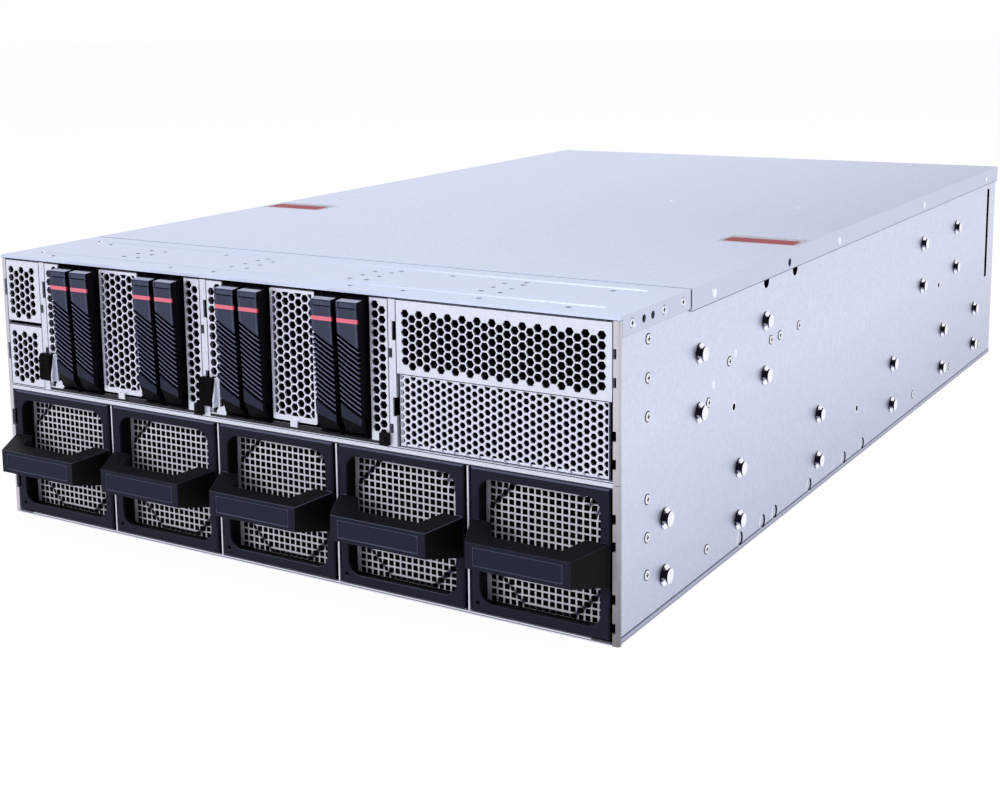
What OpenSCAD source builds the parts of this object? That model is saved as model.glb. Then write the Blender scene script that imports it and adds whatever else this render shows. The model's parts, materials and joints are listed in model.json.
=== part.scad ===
// 4U GPU server: folded steel chassis, eight drives, five fan modules and four power supplies.
// The front plane of the chassis is at local y = 0, its rear is at +y, its base is at z = 0.

/* [Chassis] */
// Width of the body over the cover flanges
body_w = 447; // [445:0.5:450]
// Depth of the body from the front plane to the rear face
body_d = 800; // [780:10:880]
// Height of the body, four rack units less a running gap
body_h = 175; // [174:0.5:178]
// Thickness of the folded steel sheet
sheet_t = 1.2; // [1:0.1:1.4]
// Width of each folded front flange
flange_w = 4; // [3.4:0.2:4.4]
// Outer bend radius of the front flanges
flange_r = 1.6; // [1.2:0.2:1.8]
// Depth of the folded front edges
fold_d = 2.4; // [2:0.2:3]
// Free height of the fan bay under the deck
fan_bay_h = 83.2; // [82.8:0.2:84.4]
// Height of the deck's folded front edge
deck_h = 4; // [3.6:0.2:5]
// Gap between pieces that slide or lie side by side
gap = 0.3; // [0.25:0.05:0.4]

/* [Covers] */
// Depth of the fixed front top panel
front_top_d = 88.5; // [84:0.5:92]
// Seam between the front top panel and the sliding cover
seam = 1.8; // [1:0.2:3]
// Height of the front top panel's side flange
front_skirt_h = 11; // [9:0.5:12]
// Height of the sliding cover's side flange
cover_skirt_h = 13; // [12.5:0.5:15]
// Reach of the cover's lip under the front top panel
lip_reach = 10; // [6:1:14]
// Width of the stiffening beads in the top panel
bead_w = 4.4; // [3:0.2:6]
// Depth of the stiffening beads
bead_depth = 0.7; // [0.4:0.1:0.8]

/* [Rack studs] */
// Radius of the stud flange
stud_flange_r = 6; // [5:0.25:6.5]
// Radius of the stud neck
stud_neck_r = 3; // [2.5:0.25:3.5]
// Radius of the stud head
stud_head_r = 4.25; // [4:0.25:5]
// Length of the neck between flange and head
stud_neck_l = 1.8; // [1.4:0.2:2.6]
// Height of the upper pair of stud rows
stud_rows_z = [20, 52.5, 101.3, 135.5];

/* [Upper front row] */
// Width of the two input and output blanks
io_w = 30.2; // [29:0.2:32]
// Width of the posts between the bays
post_w = 4.6; // [4.2:0.2:5.4]
// Width of one drive cage
cage_w = 130.5; // [129.5:0.1:131]
// Depth of one drive cage
cage_d = 120; // [112:1:150]
// Vertical pitch of the coarse honeycomb
hex_pitch = 5.4; // [5:0.1:6]
// Hole size across flats of the coarse honeycomb
hex_hole = 4.5; // [3.8:0.1:4.7]
// Vertical pitch of the fine honeycomb in the lower vent
fine_pitch = 4.55; // [4.2:0.05:5]
// Hole size across flats of the fine honeycomb
fine_hole = 3.35; // [2.8:0.05:3.7]
// Vertical pitch of the upper vent's honeycomb
vent_pitch = 5.3; // [5.2:0.05:5.6]
// Height of the lower vent
lower_vent_h = 41.2; // [38:0.2:44]

/* [Drives] */
// Spacing of the drive slots
slot_pitch = 17.6; // [17.2:0.1:17.9]
// Width of a drive carrier
drive_w = 13.9; // [13.3:0.1:14.6]
// Depth of the carrier behind the front plane
drive_d = 106; // [104:1:110]
// How far the carrier stands out of the front plane
drive_proud = 9.5; // [8.5:0.5:11]
// Height of the release button
button_h = 2.6; // [2.2:0.1:2.8]
// Travel of the release button
button_travel = 1.5; // [1:0.1:1.8]
// Pitch of the diagonal ribs on the lever
rib_pitch = 2.95; // [2.8:0.05:3.1]
// Free gap between two ribs
rib_gap = 1.85; // [1.6:0.05:2.1]
// Drop of a rib across the lever
rib_drop = 8; // [6:0.5:9]
// Radius of the lever's pivot pin
pivot_r = 1; // [0.8:0.1:1.2]

/* [Fan modules] */
// Thickness of the divider between two fan modules
divider_t = 1; // [0.8:0.1:1.4]
// Side gap between a fan module and its divider
fan_side_gap = 1.75; // [1.4:0.05:2]
// Thickness of the bezel plate
bezel_t = 3; // [2.4:0.2:4]
// Width of the bezel's rim beside its opening
bezel_rim = 5.2; // [4.8:0.2:6.4]
// Height of the bezel's rim over and under its opening
bezel_rim_h = 5.6; // [5.2:0.2:6.4]
// Corner radius of the bezel opening
bezel_corner_r = 8; // [6:0.5:10]
// Length of a fan module behind the front plane
fan_d = 68; // [64:1:80]
// Depth of the guard mesh behind the bezel's face
guard_y = 14; // [12:0.5:17]
// Rise of the octagonal centre of the guard mesh
guard_rise = 3; // [2:0.5:4]
// Pitch of the square mesh
mesh_pitch = 4.15; // [4:0.05:4.6]
// Width of one square hole in the mesh
mesh_hole = 3.1; // [2.8:0.1:3.3]
// Radius of the fan's bore
fan_bore_r = 38; // [36:0.5:38.5]
// Radial gap between blade tip and bore
tip_gap = 1.5; // [1:0.1:2.5]
// Radius of the rotor hub
hub_r = 17.5; // [15:0.5:20]
// How far the handle stands out of the bezel
handle_proud = 23.4; // [21:0.2:26]
// Depth of the handle's front bar
handle_bar_d = 9.4; // [8:0.2:11]
// Height of the handle at its root
handle_root_h = 23.5; // [20:0.5:26]
// Height of the handle at its bar
handle_bar_h = 14.6; // [12:0.2:17]

/* [Power supplies] */
// Width of a power supply
psu_w = 73.5; // [72:0.5:75]
// Height of a power supply
psu_h = 40; // [39:0.5:41]
// Depth of a power supply
psu_d = 185; // [180:1:200]
// How far the power supply's bail stands out of the rear face
bail_proud = 22; // [18:1:30]
// Thickness of the bail
bail_t = 4; // [3:0.5:5]

/* [Hidden] */

$fn = 40;
eps = 0.01;
fan_count = 5;
psu_count = 4;
cage_count = 2;

// The part's origin is under the middle of its bounding box
front_y = (handle_proud - body_d - bail_proud) / 2;

// Side skins, from the outside inwards
skirt_in_x = body_w / 2 - sheet_t;
wall_out_x = skirt_in_x - gap;
wall_in_x = wall_out_x - sheet_t;
bay_x = body_w / 2 - flange_w;

// Levels, from the base up
deck_z = sheet_t + gap + fan_bay_h;
row_z = deck_z + deck_h + gap;
top_in_z = body_h - sheet_t;
top_lip_h = 1.8;
row_top_z = body_h - top_lip_h - 3 * gap;
base_lip_h = 1.8;
row_h = row_top_z - row_z;
wall_top_z = top_in_z - gap;

// Bays of the upper row, from left to right
io_x = -bay_x + gap;
post_xs = [
    io_x + io_w + gap,
    io_x + io_w + 3 * gap + post_w + cage_w,
    io_x + io_w + 5 * gap + 2 * post_w + 2 * cage_w
];
cage_xs = [for (i = [0:cage_count - 1]) post_xs[i] + post_w + gap];
vent_x = post_xs[2] + post_w + gap;
vent_w = bay_x - gap - vent_x;
upper_vent_h = row_h - lower_vent_h - gap;
upper_vent_z = row_top_z - upper_vent_h;
io_split = 2.4;
io_h = (row_h - io_split) / 2;

// Slots in a cage: two drives, a filler over two slots, two drives
drive_slots = [0, 1, 4, 5];
filler_slots = 2;
slot_count = 6;
strip_w = (cage_w - slot_count * slot_pitch) / 2;
drive_z = row_z + sheet_t + gap;
drive_top_z = row_top_z - sheet_t - gap;
function slot_x(cage, slot) = cage_xs[cage] + strip_w + (slot + 0.5) * slot_pitch;
function drive_x(i) = slot_x(floor(i / 4), drive_slots[i % 4]);

// Profile of the drive's front, as depth and height
drive_crown_z = drive_top_z - 0.7;
button_z = drive_crown_z - 0.5 - gap - button_h;
lever_top_z = button_z - 2 * gap;
lever_foot_z = drive_z + 8.7;
lever_back_y = -3.4;
lever_foot_y = -6.6;
foot_drop = 4;
toe_y = -2.4;
toe_z = drive_z + 3;
pivot_y = -0.4;
pivot_z = drive_z + 4.6;
pivot_gap = 0.05;
knuckle_r = 1.9;
cheek_w = 2.6;
cheek_r = 2.05;

// Fan bay
fan_pitch = (2 * bay_x + divider_t) / fan_count;
fan_w = fan_pitch - divider_t - 2 * fan_side_gap;
fan_z = base_lip_h + 2 * gap;
divider_y = sheet_t;
fan_h = deck_z - gap - fan_z;
fan_mid_z = fan_z + fan_h / 2;
function fan_x(i) = (i - (fan_count - 1) / 2) * fan_pitch;
housing_wall = 2;
stator_y = fan_d - 12;
rotor_y = guard_y + sheet_t + 6;

// Power supply bay, centred at the rear
psu_pitch = psu_w + sheet_t + 2 * gap;
psu_z = sheet_t + gap;
psu_front_y = body_d - psu_d;
shelf_z = psu_z + psu_h + gap;
function psu_x(i) = (i - (psu_count - 1) / 2) * psu_pitch;

// Rack studs along the sides: the front ones keep their distance from the front, the rest from the rear
upper_stud_ys = [106, 209, body_d - 239, body_d - 136];
lower_stud_ys = [60, 168.5, 313, body_d - 315, body_d - 171, body_d - 64];
// The left side's studs sit a little further back than the right side's
left_stud_shift = 0.6;
stud_flange_t = 0.7;
stud_head_t = 1;

// Countersunk screws in the sides, as distance from the front and height
screw_r = 3.4;
screw_spots = concat(
    [for (z = [27.5, 48.5, 69.7, 115, 136, 157]) [36.5, z]],
    [for (y = [150, 218.5, 234, 269]) [y, 122]],
    [[119, 104], [119, 16.5]],
    [for (dy = [255, 143, 40]) [body_d - dy, 15]]
);
skirt_screw_ys = [14.5, 54, 79];
skirt_screw_r = 4;
skirt_mid_z = body_h - front_skirt_h / 2;

// ---------- shared shapes ----------

// Everything is drawn from the front plane and then set about the part's origin
module place() {
    translate([0, front_y, 0]) children();
}

// Stands a flat outline up in the XZ plane; it grows from y towards the rear by t
module upright(y, t) {
    translate([0, y + t, 0]) rotate([90, 0, 0]) linear_extrude(t) children();
}

// Lays a YZ outline across the X direction from x, over a length w
module across(x, w) {
    translate([x, 0, 0]) rotate([90, 0, 90]) linear_extrude(w) children();
}

module both_sides() {
    children();
    mirror([1, 0, 0]) children();
}

module rounded(w, h, r) {
    translate([r, 0]) square([w - 2 * r, h]);
    translate([0, r]) square([w, h - 2 * r]);
    for (x = [r, w - r], y = [r, h - r]) translate([x, y]) circle(r);
}

// Staggered hexagons that fill a field of w by h about its middle
module honeycomb(w, h, pitch, hole) {
    col_pitch = pitch * sqrt(3) / 2;
    cols = floor((w - hole) / col_pitch);
    rows = floor((h - hole - pitch / 2) / pitch);
    for (i = [0:cols], j = [0:rows])
        translate([(i - cols / 2) * col_pitch, (j - rows / 2 + (i % 2 == 0 ? 0.25 : -0.25)) * pitch])
            circle(hole / sqrt(3), $fn = 6);
}

// A wider field cut off along the edges of a window of w by h
module clipped_honeycomb(w, h, pitch, hole) intersection() {
    square([w, h], center = true);
    honeycomb(w + hole, h + pitch + hole / 2, pitch, hole);
}

// A shallow sheet box with its back open; its children are the holes in its face
module vent_box(w, h, depth) difference() {
    cube([w, depth, h]);
    translate([sheet_t, sheet_t, sheet_t]) cube([w - 2 * sheet_t, depth, h - 2 * sheet_t]);
    translate([w / 2, 0, h / 2]) upright(-eps, sheet_t + 2 * eps) children();
}

// ---------- chassis ----------

hole_r = 2.2;
tooling_r = 4.4;
tooling_z = 6.8;
tooling_depth = 0.5;
tooling_ys = [172, 210, 231.5, 297.5, 371, 413.5];
wall_hole_spots = [[158.5, 92.5], [398, 37], [body_d - 187, 93.5]];
skirt_hole_ys = [209, 260];
skirt_hole_z = body_h - cover_skirt_h - 1.5;
rear_slot_w = 8;
rear_slot_z = 76;
rear_slot_h = 81;
hem_h = 3.2;
standoff_r = 3;
board_z = 8;
board_y = 150;
board_d = 330;
board_w = 400;
board_t = 1.6;
shelf_y = psu_front_y - 110;

module side_wall() {
    difference() {
        translate([wall_in_x, fold_d, 0]) cube([sheet_t, body_d - fold_d, wall_top_z]);
        // Half-pierced tooling marks over the base, open holes under the skirt
        for (y = tooling_ys)
            translate([wall_out_x - tooling_depth, y, tooling_z]) rotate([0, 90, 0])
                cylinder(h = tooling_depth + eps, r = tooling_r);
        for (y = skirt_hole_ys)
            translate([wall_in_x - eps, y, skirt_hole_z]) rotate([0, 90, 0]) cylinder(h = sheet_t + 2 * eps, r = tooling_r);
        for (p = wall_hole_spots)
            translate([wall_in_x - eps, p[0], p[1]]) rotate([0, 90, 0]) cylinder(h = sheet_t + 2 * eps, r = hole_r);
        translate([wall_in_x - eps, body_d - 30, rear_slot_z]) cube([sheet_t + 2 * eps, rear_slot_w, rear_slot_h]);
    }
    // Hem along the base and the return that the cover lies over
    translate([wall_out_x, fold_d, 0]) cube([gap, body_d - fold_d, hem_h]);
    translate([wall_in_x - 8, front_top_d + lip_reach, wall_top_z - sheet_t])
        cube([8, body_d - front_top_d - lip_reach, sheet_t]);
}

module chassis_tub() place() color("lightsteelblue") {
    translate([-wall_out_x, fold_d, 0]) cube([2 * wall_out_x, body_d - fold_d, sheet_t]);
    both_sides() side_wall();
    // Shelf over the power supplies and the walls of their bays
    translate([-wall_in_x, shelf_y, shelf_z]) cube([2 * wall_in_x, body_d - sheet_t - shelf_y, sheet_t]);
    for (i = [0:psu_count])
        translate([psu_x(i) - psu_pitch / 2 - sheet_t / 2, psu_front_y, sheet_t])
            cube([sheet_t, psu_d - sheet_t, shelf_z - sheet_t]);
    for (x = [-board_w / 2 + 10, 0, board_w / 2 - 10], y = [board_y + 10, board_y + board_d - 10])
        translate([x, y, sheet_t]) cylinder(h = board_z - sheet_t, r = standoff_r);
}

// ---------- front frame ----------

emi_slot_h = 5.4;
right_slot_zs = [9.8, 25.5, 54, 68.8, 98, 112.8, 140.8, 155.8];
left_slot_h = 11;
left_slot_zs = [22.5, 65.8, 111, 153.8];
slot_reach = 1.8;
post_d = 9;
lip_step = 0.7;
lip_end = 12.5;

// Right-hand front flange with a rounded outer bend and slots along its inner edge
module front_flange(slot_zs, slot_h) {
    difference() {
        linear_extrude(body_h - top_lip_h - gap) {
            translate([bay_x, 0]) square([flange_w - flange_r, fold_d]);
            translate([bay_x + flange_w - flange_r, flange_r]) intersection() {
                circle(flange_r);
                translate([-eps, -flange_r]) square(flange_r + eps);
            }
            translate([bay_x + flange_w - flange_r - eps, flange_r]) square([flange_r + eps, fold_d - flange_r]);
        }
        for (z = slot_zs)
            translate([bay_x - eps, -eps, z - slot_h / 2]) cube([slot_reach, fold_d + 2 * eps, slot_h]);
        // The flange is split where the deck meets it
        translate([bay_x + 1, -eps, deck_z + deck_h / 2]) cube([flange_w, fold_d + 2 * eps, gap]);
    }
}

module deck_profile() {
    difference() {
        translate([0, deck_z]) square([cage_d + 60, deck_h]);
        translate([sheet_t, deck_z + sheet_t]) square([cage_d + 60, deck_h - 2 * sheet_t]);
        translate([fold_d * 5, deck_z - eps]) square([cage_d + 60, sheet_t + 2 * eps]);
    }
}

// Finger windows: one in the left half of the post, a taller one above it in the right half
window_zs = [row_z + 7, row_z + 50.2];
window_rise = 10;
module bay_post(i) {
    difference() {
        translate([post_xs[i], 0, deck_z + deck_h - eps]) cube([post_w, post_d, row_top_z - deck_z - deck_h + eps]);
        translate([post_xs[i] + sheet_t, sheet_t, deck_z + deck_h])
            cube([post_w - 2 * sheet_t, post_d, row_h + gap + eps]);
        for (z = window_zs) {
            translate([post_xs[i] - eps, -eps, z]) cube([post_w / 2 + eps, post_d / 2, emi_slot_h]);
            translate([post_xs[i] + post_w / 2, -eps, z + window_rise])
                cube([post_w / 2 + eps, post_d / 2, 2 * emi_slot_h]);
        }
    }
}

module front_frame() place() color("gainsboro") {
    front_flange(right_slot_zs, emi_slot_h);
    mirror([1, 0, 0]) front_flange(left_slot_zs, left_slot_h);
    // Lip along the base, stepped down near each end
    difference() {
        translate([-bay_x, 0, 0]) cube([2 * bay_x, fold_d, base_lip_h]);
        both_sides() translate([bay_x - lip_end, -eps, base_lip_h - lip_step]) cube([lip_end, fold_d + 2 * eps, lip_step + eps]);
    }
    difference() {
        across(-wall_in_x + gap, 2 * (wall_in_x - gap)) deck_profile();
        both_sides() translate([bay_x, -eps, deck_z - eps]) cube([flange_w, fold_d + eps, deck_h + 2 * eps]);
    }
    for (i = [0:fan_count - 2])
        translate([fan_x(i) + fan_pitch / 2 - divider_t / 2, divider_y, sheet_t])
            cube([divider_t, fan_d + 8 - divider_y, deck_z - sheet_t]);
    for (i = [0:2]) bay_post(i);
}

// ---------- top covers ----------

bead_ys = [20, 73];
bead_half_l = 204;
cluster_xs = [-137, -48, 41, 130];
cluster_hole_r = 1.6;
rivet_xs = [-187, -86, -52, 49, 85, 134, 188];

module bead(y) {
    profile = [[-bead_w / 2, eps], [-bead_w / 4, -bead_depth], [bead_w / 4, -bead_depth], [bead_w / 2, eps]];
    translate([0, y, body_h]) {
        across(-bead_half_l, 2 * bead_half_l) polygon(profile);
        for (s = [-1, 1]) translate([s * bead_half_l, 0, -bead_depth])
            cylinder(h = bead_depth + eps, r1 = bead_w / 4, r2 = bead_w / 2);
    }
}

module front_top_panel() place() color("lightsteelblue") difference() {
    union() {
        translate([-body_w / 2, 0, top_in_z]) cube([body_w, front_top_d, sheet_t]);
        translate([-body_w / 2, 0, body_h - top_lip_h]) cube([body_w, fold_d, top_lip_h]);
        both_sides() translate([skirt_in_x, 0, body_h - front_skirt_h]) difference() {
            cube([sheet_t, front_top_d, front_skirt_h]);
            translate([-eps, -eps, -eps]) cube([sheet_t + 2 * eps, fold_d + gap, front_skirt_h - top_lip_h]);
        }
    }
    for (y = bead_ys) bead(y);
    for (x = cluster_xs, dx = [-6, 6], y = [31.5, 44.5, 57.5])
        translate([x + dx, y, top_in_z - eps]) cylinder(h = sheet_t + 2 * eps, r = cluster_hole_r);
    for (x = rivet_xs, y = [12, 65])
        translate([x, y, top_in_z - eps]) cylinder(h = sheet_t + 2 * eps, r = cluster_hole_r);
    both_sides() {
        for (y = [28, 39])
            translate([skirt_in_x - eps, y, skirt_mid_z]) rotate([0, 90, 0]) cylinder(h = sheet_t + 2 * eps, r = hole_r);
        for (y = skirt_screw_ys) translate([skirt_in_x - eps, y, skirt_mid_z]) rotate([0, 90, 0]) {
            cylinder(h = sheet_t + 2 * eps, r = skirt_screw_r / 2);
            translate([0, 0, sheet_t / 3]) cylinder(h = sheet_t, r1 = skirt_screw_r / 2, r2 = skirt_screw_r * 1.1);
        }
    }
}

module top_cover() place() color("lightsteelblue") difference() {
    cover_y = front_top_d + seam;
    cover_l = body_d - cover_y;
    union() {
        translate([-body_w / 2, cover_y, top_in_z]) cube([body_w, cover_l, sheet_t]);
        both_sides() translate([skirt_in_x, cover_y, body_h - cover_skirt_h])
            cube([sheet_t, cover_l, cover_skirt_h]);
        // Joggled lip that hooks under the fixed panel
        translate([-bead_half_l, cover_y, top_in_z - gap - sheet_t]) cube([2 * bead_half_l, sheet_t, 2 * sheet_t]);
        translate([-bead_half_l, front_top_d - lip_reach, top_in_z - gap - sheet_t])
            cube([2 * bead_half_l, lip_reach + seam + sheet_t, sheet_t]);
        both_sides() for (y = [122, 343, body_d - 246, body_d - 43])
            translate([body_w / 2, y, body_h - cover_skirt_h / 1.7]) rotate([0, 90, 0]) cylinder(h = 0.4, r1 = 4, r2 = 3.4);
    }
    for (x = [57, 160]) translate([x, body_d - 360, body_h - 0.5]) cylinder(h = 0.5 + eps, r1 = 2, r2 = 3);
    both_sides() translate([skirt_in_x - eps, 245.5, body_h - cover_skirt_h / 1.6])
        rotate([0, 90, 0]) cylinder(h = sheet_t + 2 * eps, r = 1.2 * hole_r);
}

// ---------- studs and screws ----------

module rack_stud() rotate([0, 90, 0]) {
    cylinder(h = stud_flange_t, r = stud_flange_r);
    cylinder(h = stud_flange_t + stud_neck_l, r = stud_neck_r);
    translate([0, 0, stud_flange_t + stud_neck_l]) cylinder(h = stud_head_t, r = stud_head_r);
}

module stud_rows() {
    for (y = lower_stud_ys, z = [stud_rows_z[0], stud_rows_z[1]]) translate([wall_out_x, y, z]) rack_stud();
    for (y = upper_stud_ys, z = [stud_rows_z[2], stud_rows_z[3]]) translate([wall_out_x, y, z]) rack_stud();
}

module side_studs() place() color("silver") {
    stud_rows();
    mirror([1, 0, 0]) translate([0, left_stud_shift, 0]) stud_rows();
}

// Flat-headed screw along +X with a plain socket, its head's face at x = 0
module flat_screw(r) rotate([0, 90, 0]) difference() {
    translate([0, 0, -sheet_t / 2]) cylinder(h = sheet_t / 2, r1 = r * 0.8, r2 = r);
    translate([0, 0, -sheet_t / 4]) cylinder(h = sheet_t, r = r / 3);
}

module panel_screws() place() color("darkgray") both_sides() {
    for (p = screw_spots) translate([wall_out_x + sheet_t / 2, p[0], p[1]]) flat_screw(screw_r);
    for (y = skirt_screw_ys) translate([body_w / 2 - sheet_t / 6, y, skirt_mid_z]) rotate([0, 90, 0]) difference() {
        translate([0, 0, -sheet_t / 3]) cylinder(h = sheet_t / 3, r = skirt_screw_r / 2 + 0.4);
        translate([0, 0, -sheet_t / 6]) cylinder(h = sheet_t, r = skirt_screw_r / 4);
    }
}

// ---------- upper front row ----------

cage_wall = sheet_t;
// The punched fields sit a little off the middle of their panels
field_shift = 1.1;
floor_lip_h = 2.9;
cage_top_back = 10;
partition_y = 4;
strip_margin = 1.6;
foot_window = 4.6;
// Play between sheets that rivets hold together
rivet_gap = 0.05;

// Perforated face strip beside a cage's slots, set on the edges of its sheets
module cage_strip(side) translate([side * (cage_w - strip_w), 0, cage_wall + rivet_gap]) difference() {
    cube([strip_w, cage_wall, row_h - cage_wall - rivet_gap]);
    translate([strip_w / 2, 0, row_h / 2 - cage_wall - rivet_gap + field_shift]) mirror([1 - side, 0, 0])
        upright(-eps, cage_wall + 2 * eps)
            honeycomb(strip_w - strip_margin, row_h - 2 * floor_lip_h, hex_pitch, hex_hole);
    // Square window beside the latch's foot
    if (side == 0) translate([gap, -eps, 1]) cube([foot_window, cage_wall + 2 * eps, foot_window]);
}

// One cage, riveted together from flat sheets
module drive_cage(cage) {
    side_z = cage_wall + rivet_gap;
    side_h = row_h - 2 * side_z;
    translate([cage_xs[cage], 0, row_z]) {
        cube([cage_w, cage_d, cage_wall]);
        // The top sheet stops short of the front over the slots
        translate([0, cage_top_back, row_h - cage_wall]) cube([cage_w, cage_d - cage_top_back, cage_wall]);
        for (x = [0, cage_w - cage_wall]) translate([x, side_z, side_z]) cube([cage_wall, cage_d - side_z, side_h]);
        for (side = [0, 1]) cage_strip(side);
    }
    // Front lip of the floor under the filler
    translate([slot_x(cage, 2) - slot_pitch / 2 + gap, 0, row_z + side_z])
        cube([filler_slots * slot_pitch - 2 * gap, sheet_t, floor_lip_h - side_z]);
    // Partitions on either side of the filler
    for (s = [2, 4]) translate([slot_x(cage, s) - slot_pitch / 2 - cage_wall / 2, partition_y, row_z + side_z])
        cube([cage_wall, cage_d - partition_y, side_h]);
}

module drive_cages() place() color("gainsboro") for (c = [0:cage_count - 1]) {
    drive_cage(c);
    latch_ear(c);
}

filler_foot = 3.2;
filler_d = 3.2;
filler_right_gap = 2.4;
filler_corner_r = 1.8;
filler_inset = 2;
filler_sill = 3.2;
hook_w = 5;
hook_proud = 1.6;
module bay_filler(cage) {
    w = filler_slots * slot_pitch - gap - filler_right_gap;
    h = row_top_z - gap - drive_z - filler_foot;
    translate([slot_x(cage, 2) - slot_pitch / 2 + gap, 0, drive_z + filler_foot]) {
        upright(0, sheet_t) difference() {
            rounded(w, h, filler_corner_r);
            translate([w / 2, (h + filler_sill - filler_inset) / 2])
                clipped_honeycomb(w - 2 * filler_inset, h - filler_sill - filler_inset, hex_pitch, hex_hole);
        }
        // Folded edges and the sprung hook that comes down in front of the cage's floor lip
        for (x = [0, w - sheet_t]) translate([x, sheet_t, 4]) cube([sheet_t, filler_d - sheet_t, h - 8]);
        translate([(w - hook_w) / 2, -hook_proud, 0]) cube([hook_w, hook_proud + eps, sheet_t]);
        translate([(w - hook_w) / 2, -hook_proud, -filler_foot]) cube([hook_w, hook_proud - gap, filler_foot + eps]);
    }
}

module bay_fillers() place() color("gainsboro") for (c = [0:cage_count - 1]) bay_filler(c);

blank_d = 24;
module io_blanks() place() color("gainsboro") for (z = [row_z, row_top_z - io_h])
    translate([io_x, 0, z]) vent_box(io_w, io_h, blank_d) translate([-field_shift, -field_shift])
        honeycomb(io_w - 5.2, io_h - 2.6, hex_pitch, hex_hole);

vent_d = 30;
module upper_vent_panel() place() color("gainsboro") translate([vent_x, 0, upper_vent_z])
    vent_box(vent_w, upper_vent_h, vent_d) translate([0, -field_shift])
        honeycomb(vent_w - 7.2, upper_vent_h - 5, vent_pitch, hex_hole);

// The lower panel is set back, with its holes running into its bends
vent_setback = 1.6;
lower_left_gap = 0.9;
lower_right_gap = 2.4;
fine_edge = 0.5;
module lower_vent_panel() place() color("gainsboro") translate([vent_x + lower_left_gap, vent_setback, row_z]) {
    w = vent_w - lower_left_gap - lower_right_gap;
    vent_box(w, lower_vent_h, vent_d) clipped_honeycomb(w - 2 * fine_edge, lower_vent_h - 2 * fine_edge, fine_pitch, fine_hole);
}

// ---------- latches at the cages' lower corners ----------

latch_h = 17.7;
latch_w = 9.4;
latch_t = 4.4;
latch_z = row_z + 6.4;
latch_pin_r = 0.9;
latch_knuckle_r = latch_t / 2;
latch_inset = 0.3;
latch_foot_w = 3.6;

// Left edge of a latch: it stands over the post left of its cage
function latch_x(i) = post_xs[i] + latch_inset;

// Thumb latch hinged near its foot; its outline is drawn in depth and height
module cage_latch(i) place() color("black") translate([latch_x(i), -gap - latch_t, latch_z]) difference() {
    across(0, latch_w) {
        polygon([
            [0, latch_knuckle_r], [latch_t, latch_knuckle_r], [latch_t, latch_h], [1.6, latch_h], [0, latch_h - 2.2]
        ]);
        translate([latch_knuckle_r, latch_knuckle_r]) circle(latch_knuckle_r);
    }
    for (k = [0:2]) translate([latch_w * 0.3, 0.3, latch_h * (0.35 + 0.18 * k)])
        rotate([90, 0, 0]) linear_extrude(1) rounded(latch_w * 0.4, 2, 0.95);
    across(-eps, latch_w + 2 * eps) translate([latch_knuckle_r, latch_knuckle_r]) circle(latch_pin_r + pivot_gap);
}

// Folded steel ear on the cage's face that holds the latch's pin
module latch_ear(i) translate([latch_x(i), -gap - latch_t, latch_z]) {
    back_y = latch_t + gap - rivet_gap;
    across(latch_w + gap, sheet_t) polygon([
        [0.6, 0], [back_y, 0], [back_y, latch_h], [latch_t - 1, latch_h], [0.6, 2 * latch_knuckle_r]
    ]);
    translate([latch_w + gap, back_y - sheet_t, 0]) cube([latch_foot_w, sheet_t, latch_h]);
    across(0, latch_w + gap + eps) translate([latch_knuckle_r, latch_knuckle_r]) circle(latch_pin_r);
}

stop_w = 5.4;
stop_h = 7;
stop_d = 3;
// Rubber-faced stops at the lower right of each cage
module cage_stops() place() color("black") for (c = [0:cage_count - 1])
    translate([cage_xs[c] + cage_w - stop_w, -stop_d, row_z]) {
        cube([stop_w, stop_d, stop_h]);
        translate([stop_w / 2, 0, stop_h / 2]) rotate([90, 0, 0]) cylinder(h = 0.6, r = stop_w / 3);
    }

// ---------- drives ----------

ssd_w = 7;
ssd_d = 100;
rail_h = 5.2;
ssd_h = drive_top_z - drive_z - 2 * rail_h;
carrier_back_y = 5;

// Front of the carrier as depth and height: base, cheeks round the lever's foot, back wall, crown
module carrier_profile() {
    polygon([
        [carrier_back_y, drive_z], [0, drive_z], [-3, drive_z + 0.9], [-3, drive_z + 1.7], [pivot_y, drive_z + 1.7],
        [carrier_back_y - 2, drive_z + 1.7], [carrier_back_y - 2, lever_foot_z + 1],
        [lever_back_y + gap, lever_foot_z + 4], [lever_back_y + gap, button_z - gap],
        [-drive_proud, button_z - gap], [-drive_proud, drive_crown_z], [0.5, drive_top_z],
        [carrier_back_y, drive_top_z]
    ]);
}

// Round-nosed cheek that holds one end of the pivot pin
module cheek_profile() {
    polygon([
        [carrier_back_y - 2, drive_z + 1.2], [pivot_y + 0.1, drive_z + 1.2], [pivot_y + 0.1, lever_foot_z - 0.4],
        [carrier_back_y - 2, lever_foot_z + 1]
    ]);
    translate([pivot_y, pivot_z]) circle(cheek_r);
}

module drive(i) place() color("dimgray") translate([drive_x(i) - drive_w / 2, 0, 0]) {
    difference() {
        across(0, drive_w) carrier_profile();
        // Pocket of the release button
        translate([1, -drive_proud - eps, button_z - gap - eps])
            cube([drive_w - 2, drive_proud - 1, button_h + 2 * gap + eps]);
    }
    for (x = [0, drive_w - cheek_w]) across(x, cheek_w) cheek_profile();
    across(cheek_w - eps, drive_w - 2 * cheek_w + 2 * eps) translate([pivot_y, pivot_z]) circle(pivot_r);
    // Rails along the top and bottom carry the drive itself
    for (z = [drive_z, drive_top_z - rail_h]) translate([0, carrier_back_y, z])
        cube([drive_w, drive_d - carrier_back_y, rail_h]);
    translate([(drive_w - ssd_w) / 2, carrier_back_y, drive_z + rail_h]) cube([ssd_w, ssd_d, ssd_h]);
}

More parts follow.
